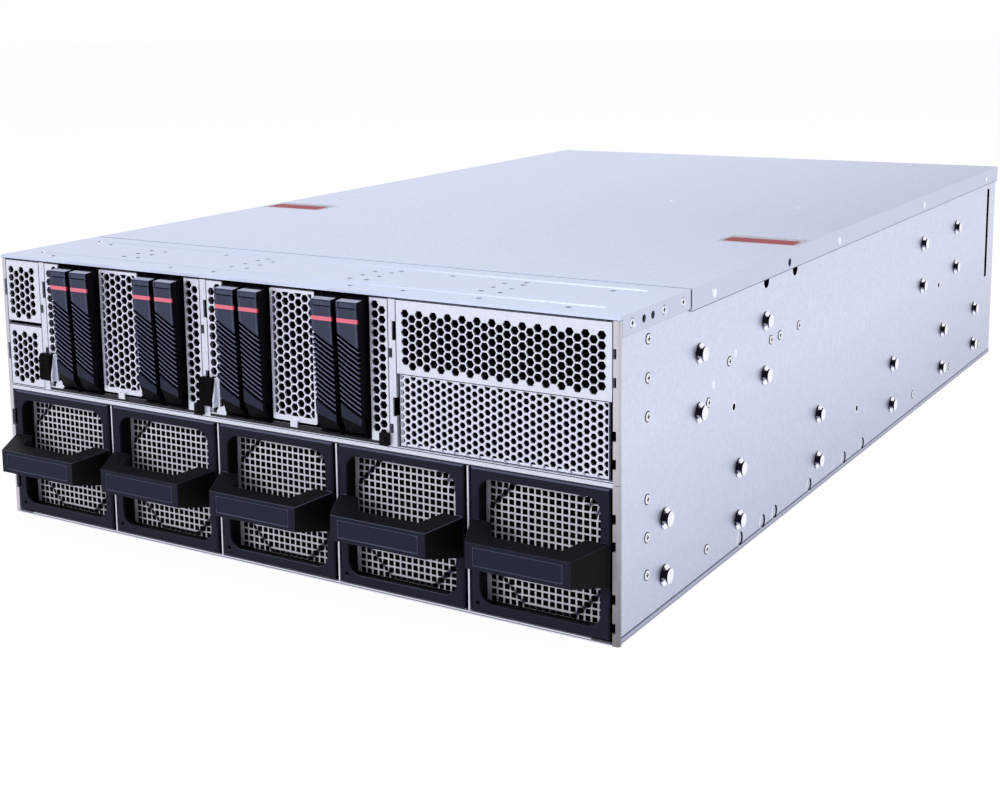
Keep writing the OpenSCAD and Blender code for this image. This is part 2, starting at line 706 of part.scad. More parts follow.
rib_start = 14.3;
rib_end = rib_drop + 2.5;
rib_count = floor((lever_top_z - lever_foot_z - rib_start - rib_end) / rib_pitch);
rib_floor_y = lever_back_y - 1.9;
rib_steps = 3;

// One slot between two ribs; it falls to the right and flattens out as it goes
function rib_fall(x) = rib_drop * (x / drive_w) * (1.15 - 0.15 * x / drive_w);
module rib_slot(z) {
    xs = [for (k = [0:rib_steps]) -eps + (drive_w + 2 * eps) * k / rib_steps];
    polygon(concat(
        [for (x = xs) [x, z - rib_fall(x)]],
        [for (k = [rib_steps:-1:0]) [xs[k], z - rib_gap - rib_fall(xs[k])]]
    ));
}

module drive_lever(i) place() color("slategray") translate([drive_x(i) - drive_w / 2, 0, 0]) difference() {
    across(0, drive_w) {
        polygon([
            [lever_back_y, lever_top_z], [-drive_proud, lever_top_z], [lever_foot_y, lever_foot_z],
            [toe_y, toe_z], [pivot_y, pivot_z - knuckle_r], [pivot_y, pivot_z + knuckle_r], [lever_back_y, lever_foot_z + 3]
        ]);
        translate([pivot_y, pivot_z]) circle(knuckle_r);
    }
    for (k = [0:rib_count - 1]) upright(-drive_proud - eps, drive_proud + rib_floor_y)
        rib_slot(lever_top_z - rib_start - k * rib_pitch);
    // The face falls away to the toe below a line that runs with the ribs
    translate([drive_w, 0, lever_foot_z]) rotate([0, atan(foot_drop / drive_w), 0])
        across(-2 * drive_w, 3 * drive_w) polygon([
            [lever_foot_y - 1, 0], [lever_foot_y, 0],
            [toe_y - 0.6, toe_z - lever_foot_z - 2], [lever_foot_y - 1, toe_z - lever_foot_z - 2]
        ]);
    // Narrowed between the carrier's cheeks, and bored for its pin
    for (x = [-eps, drive_w - cheek_w - gap]) across(x, cheek_w + gap + eps) polygon([
        [pivot_y - cheek_r - gap, drive_z], [pivot_y - cheek_r - gap, lever_foot_z - 0.2],
        [lever_back_y, lever_foot_z + 1.2], [lever_back_y, lever_foot_z + 4],
        [carrier_back_y, lever_foot_z + 4], [carrier_back_y, drive_z]
    ]);
    across(-eps, drive_w + 2 * eps) translate([pivot_y, pivot_z]) circle(pivot_r + pivot_gap);
}

module drive_button(i) place() color("dimgray")
    translate([drive_x(i) - drive_w / 2 + 1 + gap, -drive_proud + 0.2, button_z])
        cube([drive_w - 2 - 2 * gap, drive_proud - 1.2 - gap - button_travel, button_h]);

// ---------- fan modules ----------

fan_screw_hole_r = 1.3;
inset_w = 52.7;
inset_h = 9.7;
handle_bar_w = 63;
handle_arm_root = 13.5;
handle_inner_w = 43;
bezel_chamfer = 0.9;

module handle_plan() {
    polygon([
        [-fan_w / 2, 0], [-handle_bar_w / 2, -handle_proud], [handle_bar_w / 2, -handle_proud], [fan_w / 2, 0],
        [fan_w / 2 - handle_arm_root, 0], [handle_inner_w / 2, -handle_proud + handle_bar_d],
        [-handle_inner_w / 2, -handle_proud + handle_bar_d], [-fan_w / 2 + handle_arm_root, 0]
    ]);
}

module fan_handle() difference() {
    intersection() {
        translate([0, 0, -handle_root_h]) linear_extrude(2 * handle_root_h) handle_plan();
        across(-fan_w / 2, fan_w) polygon([
            [0, -handle_root_h / 2], [-handle_proud, -handle_bar_h / 2],
            [-handle_proud, handle_bar_h / 2], [0, handle_root_h / 2]
        ]);
    }
    upright(-handle_proud - eps, 0.4) translate([-inset_w / 2, -inset_h / 2]) rounded(inset_w, inset_h, 1.5);
}

module bezel_plate() intersection() {
    upright(0, bezel_t) difference() {
        translate([-fan_w / 2, -fan_h / 2]) square([fan_w, fan_h]);
        translate([-fan_w / 2 + bezel_rim, -fan_h / 2 + bezel_rim_h])
            rounded(fan_w - 2 * bezel_rim, fan_h - 2 * bezel_rim_h, bezel_corner_r);
        translate([-fan_w / 2 + 4, -fan_h / 2 + 5.2]) circle(fan_screw_hole_r);
    }
    across(-fan_w / 2, fan_w) polygon([
        [bezel_t, -fan_h / 2], [bezel_chamfer, -fan_h / 2], [0, -fan_h / 2 + bezel_chamfer],
        [0, fan_h / 2 - bezel_chamfer], [bezel_chamfer, fan_h / 2], [bezel_t, fan_h / 2]
    ]);
    translate([0, 0, -fan_h / 2]) linear_extrude(fan_h) polygon([
        [-fan_w / 2, bezel_t], [-fan_w / 2, bezel_chamfer], [-fan_w / 2 + bezel_chamfer, 0],
        [fan_w / 2 - bezel_chamfer, 0], [fan_w / 2, bezel_chamfer], [fan_w / 2, bezel_t]
    ]);
}

module fan_housing() {
    frame_y = guard_y + sheet_t + gap;
    // Duct between the bezel and the fan's square frame
    upright(bezel_t, frame_y - bezel_t) difference() {
        translate([-fan_w / 2, -fan_h / 2]) square([fan_w, fan_h]);
        translate([-fan_w / 2 + housing_wall, -fan_h / 2 + housing_wall])
            square([fan_w - 2 * housing_wall, fan_h - 2 * housing_wall]);
    }
    upright(frame_y, fan_d - frame_y) difference() {
        translate([-fan_w / 2, -fan_h / 2]) square([fan_w, fan_h]);
        circle(fan_bore_r, $fn = 96);
    }
    // Stator hub on four arms, bored for the rotor's shaft
    upright(stator_y, fan_d - stator_y - 4) difference() {
        union() {
            circle(hub_r - 1);
            for (a = [45:90:315]) rotate(a) translate([hub_r - 3, -1.5]) square([fan_bore_r - hub_r + 4, 3]);
        }
        circle(2 + pivot_gap);
    }
}

module fan_bezel(i) place() color("darkslategray") translate([fan_x(i), 0, fan_mid_z]) {
    bezel_plate();
    fan_housing();
    fan_handle();
}

// Square-holed guard with a raised octagonal centre
module fan_guard(i) place() color("silver") translate([fan_x(i), 0, fan_mid_z]) {
    guard_w = fan_w - 2 * housing_wall - 2 * gap;
    guard_h = fan_h - 2 * housing_wall - 2 * gap;
    dish_r = (guard_h / 2 - 1) / cos(22.5);
    cols = floor((fan_w - 2 * bezel_rim - mesh_hole) / mesh_pitch);
    rows = floor((fan_h - 2 * bezel_rim_h - mesh_hole) / mesh_pitch);
    difference() {
        union() {
            upright(guard_y, sheet_t) difference() {
                translate([-guard_w / 2, -guard_h / 2]) square([guard_w, guard_h]);
                rotate(22.5) circle(dish_r - sheet_t, $fn = 8);
            }
            upright(guard_y - guard_rise, guard_rise + eps) rotate(22.5) difference() {
                circle(dish_r, $fn = 8);
                circle(dish_r - sheet_t, $fn = 8);
            }
            upright(guard_y - guard_rise, sheet_t) rotate(22.5) circle(dish_r, $fn = 8);
        }
        upright(guard_y - guard_rise - 1, guard_rise + sheet_t + 2) for (i = [0:cols], j = [0:rows])
            translate([(i - cols / 2) * mesh_pitch, (j - rows / 2) * mesh_pitch]) square(mesh_hole, center = true);
    }
}

blade_count = 7;
blade_tilt = 38;
module fan_rotor(i) place() color("dimgray") translate([fan_x(i), 0, fan_mid_z]) {
    rotor_l = stator_y - gap - rotor_y;
    upright(rotor_y, rotor_l) circle(hub_r);
    upright(stator_y - gap - eps, 3) circle(2);
    for (a = [0:360 / blade_count:359]) rotate([0, a, 0]) intersection() {
        upright(rotor_y + 1, rotor_l - 2) difference() {
            circle(fan_bore_r - tip_gap);
            circle(hub_r - 1);
        }
        translate([0, rotor_y + rotor_l / 2, fan_bore_r / 2]) rotate([0, 0, blade_tilt])
            cube([1.8, rotor_l * 1.6, fan_bore_r], center = true);
    }
}

// ---------- power supplies ----------

inlet_w = 27;
inlet_h = 20;
inlet_deep = 16;
module psu(i) place() color("silver") translate([psu_x(i) - psu_w / 2, body_d - psu_d, psu_z]) {
    difference() {
        cube([psu_w, psu_d, psu_h]);
        // Mains inlet and the exhaust grille
        translate([psu_w - 5 - inlet_w, psu_d - inlet_deep, (psu_h - inlet_h) / 2]) cube([inlet_w, inlet_deep + eps, inlet_h]);
        translate([psu_w * 0.27, 0, psu_h / 2]) upright(psu_d - 8, 8 + eps) honeycomb(32, 32, 6.6, 5.4);
    }
    translate([psu_w - 5 - inlet_w / 2, 0, psu_h / 2]) upright(psu_d - inlet_deep, 11)
        for (p = [[-7, 0], [0, 4], [7, 0]]) translate(p) square([2, 4], center = true);
    // Bail for pulling the unit
    translate([2, psu_d - eps, 3]) cube([bail_t, bail_proud + eps, 7]);
    translate([psu_w * 0.27 * 2 - bail_t - 2, psu_d - eps, 3]) cube([bail_t, bail_proud + eps, 7]);
    translate([2, psu_d + bail_proud - bail_t, 3]) cube([psu_w * 0.27 * 2 - 4, bail_t, 7]);
}

// ---------- rear and inside ----------

card_w = 38;
card_l = 267;
card_count = 8;
card_pitch = 50;
card_y = body_d - sheet_t - 4 - card_l;
riser_z = shelf_z + sheet_t + 2;
card_z = riser_z + board_t;
card_head = 16;
card_h = wall_top_z - card_head - card_z;
memory_l = 133;
memory_h = row_z * 0.35;
sink_w = 76;
sink_l = 106;
sink_gap = 24;
sink_base_h = 12;
fin_h = row_z * 0.45;
fin_pitch = 6;
fin_t = 1.2;

module rear_panel() place() color("gainsboro") {
    z0 = sheet_t + gap;
    difference() {
        translate([-wall_in_x + gap, body_d - sheet_t, z0]) cube([2 * (wall_in_x - gap), sheet_t, wall_top_z - sheet_t - 2 * gap - z0]);
        for (i = [0:psu_count - 1])
            translate([psu_x(i) - psu_w / 2 - gap, body_d - sheet_t - eps, z0 - eps])
                cube([psu_w + 2 * gap, sheet_t + 2 * eps, psu_h + gap]);
        for (i = [0:card_count - 1])
            translate([(i - (card_count - 1) / 2) * card_pitch, body_d - sheet_t - eps, card_z])
                for (k = [-1:1], z = [0.1, 0.55]) translate([k * 10 - 3, 0, z * card_h])
                    cube([6, sheet_t + 2 * eps, card_h * 0.36]);
    }
}

module circuit_boards() place() color("darkgreen") {
    translate([-board_w / 2, board_y, board_z]) cube([board_w, board_d, board_t]);
    translate([-board_w / 2, card_y, riser_z]) cube([board_w, card_l, board_t]);
    for (x = [-board_w / 2 + 8, board_w / 2 - 8], y = [card_y + 8, card_y + card_l - 8])
        translate([x, y, shelf_z + sheet_t]) cylinder(h = riser_z - shelf_z - sheet_t, r = standoff_r);
    // Backplanes behind the drive cages, with a plug for each slot
    for (c = [0:cage_count - 1]) {
        translate([cage_xs[c], cage_d, row_z]) cube([cage_w, board_t, row_h]);
        for (s = [0:slot_count - 1]) translate([slot_x(c, s) - 3, cage_d - 12, drive_z + 20]) cube([6, 12, 36]);
    }
    // Memory modules stand in rows beside the processors
    for (x = [-170:10:-110], s = [-1, 1]) translate([s * x, board_y + 90, board_z + board_t])
        cube([board_t, memory_l, memory_h]);
}

module compute_modules() place() color("silver") {
    for (i = [0:card_count - 1])
        translate([(i - (card_count - 1) / 2) * card_pitch - card_w / 2, card_y, card_z]) cube([card_w, card_l, card_h]);
    // Finned heat sinks over the two processors
    for (x = [-sink_gap / 2 - sink_w, sink_gap / 2]) translate([x, board_y + 100, board_z + board_t]) {
        cube([sink_w, sink_l, sink_base_h]);
        for (k = [0:sink_w / fin_pitch]) translate([k * fin_pitch, 0, sink_base_h - eps]) cube([fin_t, sink_l, fin_h]);
    }
}

// ---------- nodes ----------

chassis_tub();
front_frame();
front_top_panel();
top_cover();
side_studs();
panel_screws();
drive_cages();
bay_fillers();
io_blanks();
upper_vent_panel();
lower_vent_panel();
rear_panel();
circuit_boards();
compute_modules();
cage_stops();
for (i = [1:2]) cage_latch(i - 1);
for (i = [1:5]) {
    fan_bezel(i - 1);
    fan_guard(i - 1);
    fan_rotor(i - 1);
}
for (i = [1:4]) psu(i - 1);
for (i = [1:8]) {
    drive(i - 1);
    drive_lever(i - 1);
    drive_button(i - 1);
}
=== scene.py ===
"""Looks of a rack server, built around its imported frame."""

import json
import logging
import math
from dataclasses import dataclass
from enum import Enum
from functools import cached_property
from typing import Any, Callable, Sequence

import bmesh
import bpy
from mathutils import Matrix, Vector

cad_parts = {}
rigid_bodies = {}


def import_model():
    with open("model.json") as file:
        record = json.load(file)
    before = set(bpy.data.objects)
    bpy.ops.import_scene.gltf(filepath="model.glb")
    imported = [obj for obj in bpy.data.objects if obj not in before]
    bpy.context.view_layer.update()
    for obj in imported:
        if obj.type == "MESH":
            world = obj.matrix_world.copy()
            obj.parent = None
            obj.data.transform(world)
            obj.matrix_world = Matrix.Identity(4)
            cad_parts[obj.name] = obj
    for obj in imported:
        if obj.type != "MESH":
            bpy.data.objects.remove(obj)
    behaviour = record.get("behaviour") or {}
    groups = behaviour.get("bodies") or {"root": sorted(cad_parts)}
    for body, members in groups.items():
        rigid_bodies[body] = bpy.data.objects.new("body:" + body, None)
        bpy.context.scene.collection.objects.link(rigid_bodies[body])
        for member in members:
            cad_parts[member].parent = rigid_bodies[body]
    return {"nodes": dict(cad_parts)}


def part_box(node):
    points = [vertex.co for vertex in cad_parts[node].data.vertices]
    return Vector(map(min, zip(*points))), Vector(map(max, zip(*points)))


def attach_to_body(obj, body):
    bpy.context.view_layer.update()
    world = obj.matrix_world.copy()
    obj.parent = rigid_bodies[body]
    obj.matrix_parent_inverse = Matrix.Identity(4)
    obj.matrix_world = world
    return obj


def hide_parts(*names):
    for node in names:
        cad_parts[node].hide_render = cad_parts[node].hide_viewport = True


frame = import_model()

LOG = logging.getLogger("server")
MM = 0.001
# Front plane of the body along Y, in millimetres
FRONT_Y = -399.3
# Least share of a normal at which a surface counts as facing that way
FACES = 0.6
# Line that tells the outer skin of a side from its inner one
SKIN = 0.1

Box = tuple[Vector, Vector]
Spots = tuple[tuple[float, float], ...]


# ---------- small helpers ----------


def linear(code: str) -> tuple[float, float, float, float]:
    """Turns an sRGB hex colour into the linear values that shaders use.

    Args:
        code: Six hex digits, with or without a leading hash.

    Returns:
        Red, green, blue and alpha.
    """
    digits = code.lstrip("#")
    parts = [int(digits[i : i + 2], 16) / 255 for i in (0, 2, 4)]
    return (*(c / 12.92 if c <= 0.04045 else ((c + 0.055) / 1.055) ** 2.4 for c in parts), 1.0)


def add(tree: bpy.types.NodeTree, kind: str, inputs: dict[Any, Any] | None = None, **settings: Any) -> Any:
    """Adds one shader node with its settings and links.

    Args:
        tree: The node tree that gets the node.
        kind: The node's type name.
        inputs: Value, or the output socket to link, for each input by name or number.
        **settings: Properties of the node itself.

    Returns:
        The new node.
    """
    node = tree.nodes.new(kind)
    for name, value in settings.items():
        setattr(node, name, value)
    for name, value in (inputs or {}).items():
        if isinstance(value, bpy.types.NodeSocket):
            tree.links.new(value, node.inputs[name])
        else:
            node.inputs[name].default_value = value
    return node


def new_material(name: str) -> tuple[bpy.types.Material, bpy.types.NodeTree, Any]:
    """Makes an empty material with its principled shader linked to the output.

    Args:
        name: The material's name.

    Returns:
        The material, its tree and the principled shader.
    """
    material = bpy.data.materials.new(name)
    material.use_nodes = True
    tree = material.node_tree
    tree.nodes.clear()
    shader = add(tree, "ShaderNodeBsdfPrincipled")
    add(tree, "ShaderNodeOutputMaterial", {"Surface": shader.outputs[0]})
    return material, tree, shader


@dataclass
class Masks:
    """Zones of one material's surface, each a socket that is 1 inside the zone and 0 outside it."""

    tree: bpy.types.NodeTree

    def __post_init__(self) -> None:
        """Splits the surface's place and normal once."""
        self.coords = add(self.tree, "ShaderNodeTexCoord").outputs["Object"]
        self.place = add(self.tree, "ShaderNodeSeparateXYZ", {"Vector": self.coords}).outputs
        normal = add(self.tree, "ShaderNodeNewGeometry").outputs["Normal"]
        self.facing = add(self.tree, "ShaderNodeSeparateXYZ", {"Vector": normal}).outputs

    @cached_property
    def side(self) -> Any:
        """Distance from the middle plane, in metres."""
        return add(self.tree, "ShaderNodeMath", {0: self.place[0]}, operation="ABSOLUTE").outputs[0]

    @cached_property
    def sideways(self) -> Any:
        """How far the surface faces to either side, from 0 to 1."""
        return add(self.tree, "ShaderNodeMath", {0: self.facing[0]}, operation="ABSOLUTE").outputs[0]

    @cached_property
    def outward(self) -> Any:
        """Above 0 where the surface faces away from the middle plane, and below it where it faces in."""
        return self.both(self.facing[0], self.place[0])

    @cached_property
    def front(self) -> Any:
        """Gives 1 on the faces towards the front."""
        return self.under(self.facing[1], -FACES)

    def over(self, value: Any, limit: float) -> Any:
        """Gives 1 where the value is over the limit."""
        return add(self.tree, "ShaderNodeMath", {0: value, 1: limit}, operation="GREATER_THAN").outputs[0]

    def under(self, value: Any, limit: float) -> Any:
        """Gives 1 where the value is under the limit."""
        return add(self.tree, "ShaderNodeMath", {0: value, 1: limit}, operation="LESS_THAN").outputs[0]

    def outside(self, part: Any) -> Any:
        """Gives 1 where the part is 0."""
        return add(self.tree, "ShaderNodeMath", {0: 1.0, 1: part}, operation="SUBTRACT").outputs[0]

    def both(self, *parts: Any) -> Any:
        """Gives 1 where every part is 1.

        Args:
            *parts: Zones; a plain number weakens them all.

        Returns:
            The zone that they share.
        """
        total = parts[0]
        for part in parts[1:]:
            total = add(self.tree, "ShaderNodeMath", {0: total, 1: part}, operation="MULTIPLY").outputs[0]
        return total

    def either(self, *parts: Any) -> Any:
        """Gives 1 where any part is 1.

        Args:
            *parts: Zones.

        Returns:
            The zone that they cover together.
        """
        total = parts[0]
        for part in parts[1:]:
            total = add(self.tree, "ShaderNodeMath", {0: total, 1: part}, operation="MAXIMUM").outputs[0]
        return total

    def band(self, value: Any, low_mm: float, high_mm: float) -> Any:
        """Gives 1 between two places in millimetres."""
        return self.both(self.over(value, low_mm * MM), self.under(value, high_mm * MM))

    def behind(self, depth_mm: float) -> Any:
        """Gives 1 further back than a depth behind the front plane."""
        return self.over(self.place[1], (FRONT_Y + depth_mm) * MM)

    def ahead(self, reach_mm: float) -> Any:
        """Gives 1 further forward than a reach in front of the front plane."""
        return self.under(self.place[1], (FRONT_Y - reach_mm) * MM)

    def ramp(self, value: Any, start_mm: float, end_mm: float) -> Any:
        """Runs from 0 at one place to 1 at another, and stays level beyond them."""
        limits = {"Value": value, "From Min": start_mm * MM, "From Max": end_mm * MM}
        return add(self.tree, "ShaderNodeMapRange", limits).outputs[0]

    def disc(self, spots: Spots, radius_mm: float, shift_mm: float = 0.0) -> Any:
        """Gives 1 inside any of some circles on the sides.

        Args:
            spots: Distance behind the front plane and height of each centre, in millimetres.
            radius_mm: Radius of the circles.
            shift_mm: How far every centre is moved to the rear.

        Returns:
            The circles' zone.
        """
        flat = add(self.tree, "ShaderNodeCombineXYZ", {1: self.place[1], 2: self.place[2]}).outputs[0]
        near = None
        for y, z in spots:
            centre = (0.0, (FRONT_Y + y + shift_mm) * MM, z * MM)
            away = add(self.tree, "ShaderNodeVectorMath", {0: flat, 1: centre}, operation="DISTANCE").outputs["Value"]
            if near is not None:
                away = add(self.tree, "ShaderNodeMath", {0: near, 1: away}, operation="MINIMUM").outputs[0]
            near = away
        return self.under(near, radius_mm * MM)

    def rim(self, boxes: Sequence[Box], width_mm: float, outer_mm: float = 1000.0) -> Any:
        """Gives 1 on the front faces near the edges of the nearest box.

        Args:
            boxes: Lowest and highest corner of each panel.
            width_mm: How far the zone reaches in from the edges.
            outer_mm: How far it reaches out from them.

        Returns:
            The edges' zone.
        """
        inside = None
        for low, high in boxes:
            past = []
            for axis in (0, 2):
                middle, half = (low[axis] + high[axis]) / 2, (high[axis] - low[axis]) / 2
                off = add(self.tree, "ShaderNodeMath", {0: self.place[axis], 1: middle}, operation="SUBTRACT")
                away = add(self.tree, "ShaderNodeMath", {0: off.outputs[0]}, operation="ABSOLUTE")
                past.append(add(self.tree, "ShaderNodeMath", {0: away.outputs[0], 1: half}, operation="SUBTRACT"))
            far = self.either(*(node.outputs[0] for node in past))
            if inside is not None:
                far = add(self.tree, "ShaderNodeMath", {0: inside, 1: far}, operation="MINIMUM").outputs[0]
            inside = far
        return self.both(self.over(inside, -width_mm * MM), self.under(inside, outer_mm * MM), self.front)

    def paint(self, zone: Any, ground: Any, coat: Any) -> Any:
        """Lays one colour over another inside a zone.

        Args:
            zone: Where the upper colour lies.
            ground: The lower colour, as a socket or a hex value.
            coat: The upper colour, as a socket or a hex value.

        Returns:
            The colour of both together.
        """
        colours = [linear(colour) if isinstance(colour, str) else colour for colour in (ground, coat)]
        mix = {"Factor": zone, 6: colours[0], 7: colours[1]}
        return add(self.tree, "ShaderNodeMix", mix, data_type="RGBA").outputs[2]


Zones = Callable[[Masks, Any], Any]


def dress(node: str, material: bpy.types.Material) -> None:
    """Gives a CAD node its material.

    Args:
        node: The node's name.
        material: Its only material.
    """
    slots = frame["nodes"][node].data.materials
    slots.clear()
    slots.append(material)


def piece_from(mesh: bmesh.types.BMesh, name: str, material: bpy.types.Material) -> bpy.types.Object:
    """Turns a bmesh into a named object at the origin.

    Args:
        mesh: The shape, in the frame's own metres. It is freed.
        name: The object's name.
        material: Its only material.

    Returns:
        The new object.
    """
    bmesh.ops.recalc_face_normals(mesh, faces=mesh.faces)
    data = bpy.data.meshes.new(name)
    mesh.to_mesh(data)
    mesh.free()
    data.materials.append(material)
    made = bpy.data.objects.new(name, data)
    bpy.context.scene.collection.objects.link(made)
    return made


def rounded(mesh: bmesh.types.BMesh, edges: Sequence[bmesh.types.BMEdge], round_mm: float) -> None:
    """Rounds some edges of a bmesh.

    Args:
        mesh: The shape.
        edges: The edges to round.
        round_mm: Radius of the rounding.
    """
    bmesh.ops.bevel(
        mesh,
        geom=edges,
        offset=round_mm * MM,
        segments=2,
        profile=0.5,
        affect="EDGES",
        material=-1,
        clamp_overlap=True,
    )


def block(mesh: bmesh.types.BMesh, low: Sequence[float], high: Sequence[float], round_mm: float = 0.0) -> None:
    """Adds a box, with rounded edges where a radius is given.

    Args:
        mesh: The bmesh that gets it.
        low: Its lowest corner in metres.
        high: Its highest corner.
        round_mm: Radius of its edges.
    """
    size = Vector(high) - Vector(low)
    place = Matrix.Translation((Vector(high) + Vector(low)) / 2) @ Matrix.Diagonal((*size, 1))
    made = bmesh.ops.create_cube(mesh, size=1.0, matrix=place)["verts"]
    if round_mm:
        rounded(mesh, list({edge for vert in made for edge in vert.link_edges}), round_mm)


def merged(node: str) -> bmesh.types.BMesh:
    """Copies a CAD node's loose triangles into one closed bmesh.

    Args:
        node: The node's name.

    Returns:
        The copy.
    """
    copy = bmesh.new()
    copy.from_mesh(frame["nodes"][node].data)
    bmesh.ops.remove_doubles(copy, verts=copy.verts, dist=0.005 * MM)
    return copy


def islands(node: str) -> list[Box]:
    """Finds the separate solids of a CAD node.

    Args:
        node: The node's name.

    Returns:
        Lowest and highest corner of each solid, ordered from front to rear.
    """
    copy = merged(node)
    left, boxes = set(copy.verts), []
    while left:
        stack = [left.pop()]
        low, high = stack[0].co.copy(), stack[0].co.copy()
        while stack:
            vert = stack.pop()
            low = Vector(map(min, low, vert.co))
            high = Vector(map(max, high, vert.co))
            for edge in vert.link_edges:
                other = edge.other_vert(vert)
                if other in left:
                    left.discard(other)
                    stack.append(other)
        boxes.append((low, high))
    copy.free()
    return sorted(boxes, key=lambda box: (round(box[0].y, 4), round(box[0].z, 4), box[0].x))


def softened(
    node: str, name: str, round_mm: float, back_y_mm: float, material: bpy.types.Material
) -> bpy.types.Object:
    """Copies a CAD node and rounds its sharp front edges.

    Args:
        node: The CAD node.
        name: The new piece's name.
        round_mm: Radius of the rounding.
        back_y_mm: Only edges in front of this depth behind the front plane are rounded.
        material: The new piece's material.

    Returns:
        The new object.
    """
    flat, sharp = math.radians(0.5), math.radians(38)
    mesh = merged(node)
    bmesh.ops.dissolve_limit(mesh, angle_limit=flat, verts=mesh.verts, edges=mesh.edges)
    edge_y = (FRONT_Y + back_y_mm) * MM
    edges = [
        edge
        for edge in mesh.edges
        if len(edge.link_faces) == 2
        and edge.calc_face_angle() > sharp
        and all(vert.co.y < edge_y for vert in edge.verts)
    ]
    rounded(mesh, edges, round_mm)
    bmesh.ops.triangulate(mesh, faces=mesh.faces)
    return piece_from(mesh, name, material)


# ---------- finishes ----------


@dataclass(frozen=True)
class SheetMetal:
    """Galvanised steel sheet: a cool grey zinc coat with a faint spangle and rolling lines."""

    name: str
    base: str = "#D3DAEE"
    patch: str = "#C9D1E7"
    # The real crystals are under a millimetre; they are drawn coarser so that they show
    spangle_mm: float = 2.6
    line_mm: float = 0.9
    line_stretch: float = 60.0
    line_axis: int = 1
    line_share: float = 0.25
    roughness: float = 0.42
    rough_play: float = 0.06
    metallic: float = 1.0
    bump: float = 0.04
    zones: Zones | None = None

    def build(self) -> bpy.types.Material:
        """Makes the material. Its zones, if any, take the sheet's colour and give the final one.

        Returns:
            The new material.
        """
        material, tree, shader = new_material(self.name)
        masks = Masks(tree)
        crystals = {"Vector": masks.coords, "Scale": 1000 / self.spangle_mm, "Detail": 3.0, "Roughness": 0.6}
        spangle = add(tree, "ShaderNodeTexNoise", crystals)
        stretch = [1000 / self.line_mm] * 3
        stretch[self.line_axis] /= self.line_stretch
        lines_at = add(tree, "ShaderNodeMapping", {"Vector": masks.coords, "Scale": stretch})
        lines = add(tree, "ShaderNodeTexNoise", {"Vector": lines_at.outputs[0], "Scale": 1.0, "Detail": 2.0})
        terms = {0: lines.outputs["Fac"], 1: self.line_share, 2: spangle.outputs["Fac"]}
        grain = add(tree, "ShaderNodeMath", terms, operation="MULTIPLY_ADD").outputs[0]
        middle, spread = (1 + self.line_share) / 2, 0.2
        limits = {"Value": grain, "From Min": middle - spread, "From Max": middle + spread}
        share = add(tree, "ShaderNodeMapRange", limits)
        colour = masks.paint(share.outputs[0], self.base, self.patch)
        if self.zones:
            colour = self.zones(masks, colour)
        tree.links.new(colour, shader.inputs["Base Color"])
        sheen = {
            "Value": spangle.outputs["Fac"],
            "From Min": 0.3,
            "From Max": 0.7,
            "To Min": self.roughness - self.rough_play,
            "To Max": self.roughness + self.rough_play,
        }
        rough = add(tree, "ShaderNodeMapRange", sheen)
        tree.links.new(rough.outputs[0], shader.inputs["Roughness"])
        relief = add(tree, "ShaderNodeBump", {"Height": grain, "Strength": self.bump, "Distance": 0.1 * MM})
        tree.links.new(relief.outputs[0], shader.inputs["Normal"])
        shader.inputs["Metallic"].default_value = self.metallic
        return material


@dataclass(frozen=True)
class MouldedPlastic:
    """Injection-moulded plastic with a fine spark-eroded grain and slow clouds of wear."""

    name: str
    base: str
    wear_and_highlight: str
    roughness: float = 0.5
    specular: float = 0.1
    # The real grain is a tenth of a millimetre; it is drawn coarser so that it shows
    grain_mm: float = 0.5
    cloud_mm: float = 17.0
    bump: float = 0.15
    glow: float = 0.0
    glow_tint: str = "#FF5064"
    zones: Zones | None = None

    def build(self) -> bpy.types.Material:
        """Makes the material. Its zones, if any, take the plastic's colour and give the final one.

        Returns:
            The new material.
        """
        material, tree, shader = new_material(self.name)
        masks = Masks(tree)
        fine = {"Vector": masks.coords, "Scale": 1000 / self.grain_mm, "Detail": 2.0}
        grain = add(tree, "ShaderNodeTexNoise", fine)
        coarse = {"Vector": masks.coords, "Scale": 1000 / self.cloud_mm, "Detail": 4.0}
        cloud = add(tree, "ShaderNodeTexNoise", coarse)
        colour = masks.paint(cloud.outputs["Fac"], self.base, self.wear_and_highlight)
        if self.zones:
            colour = self.zones(masks, colour)
        tree.links.new(colour, shader.inputs["Base Color"])
        height = {"Height": grain.outputs["Fac"], "Strength": self.bump, "Distance": 0.05 * MM}
        relief = add(tree, "ShaderNodeBump", height)
        tree.links.new(relief.outputs[0], shader.inputs["Normal"])
        shader.inputs["Roughness"].default_value = self.roughness
        shader.inputs["Specular IOR Level"].default_value = self.specular
        if self.glow:
            shader.inputs["Emission Color"].default_value = linear(self.glow_tint)
            shader.inputs["Emission Strength"].default_value = self.glow
        return material


# ---------- studio ----------


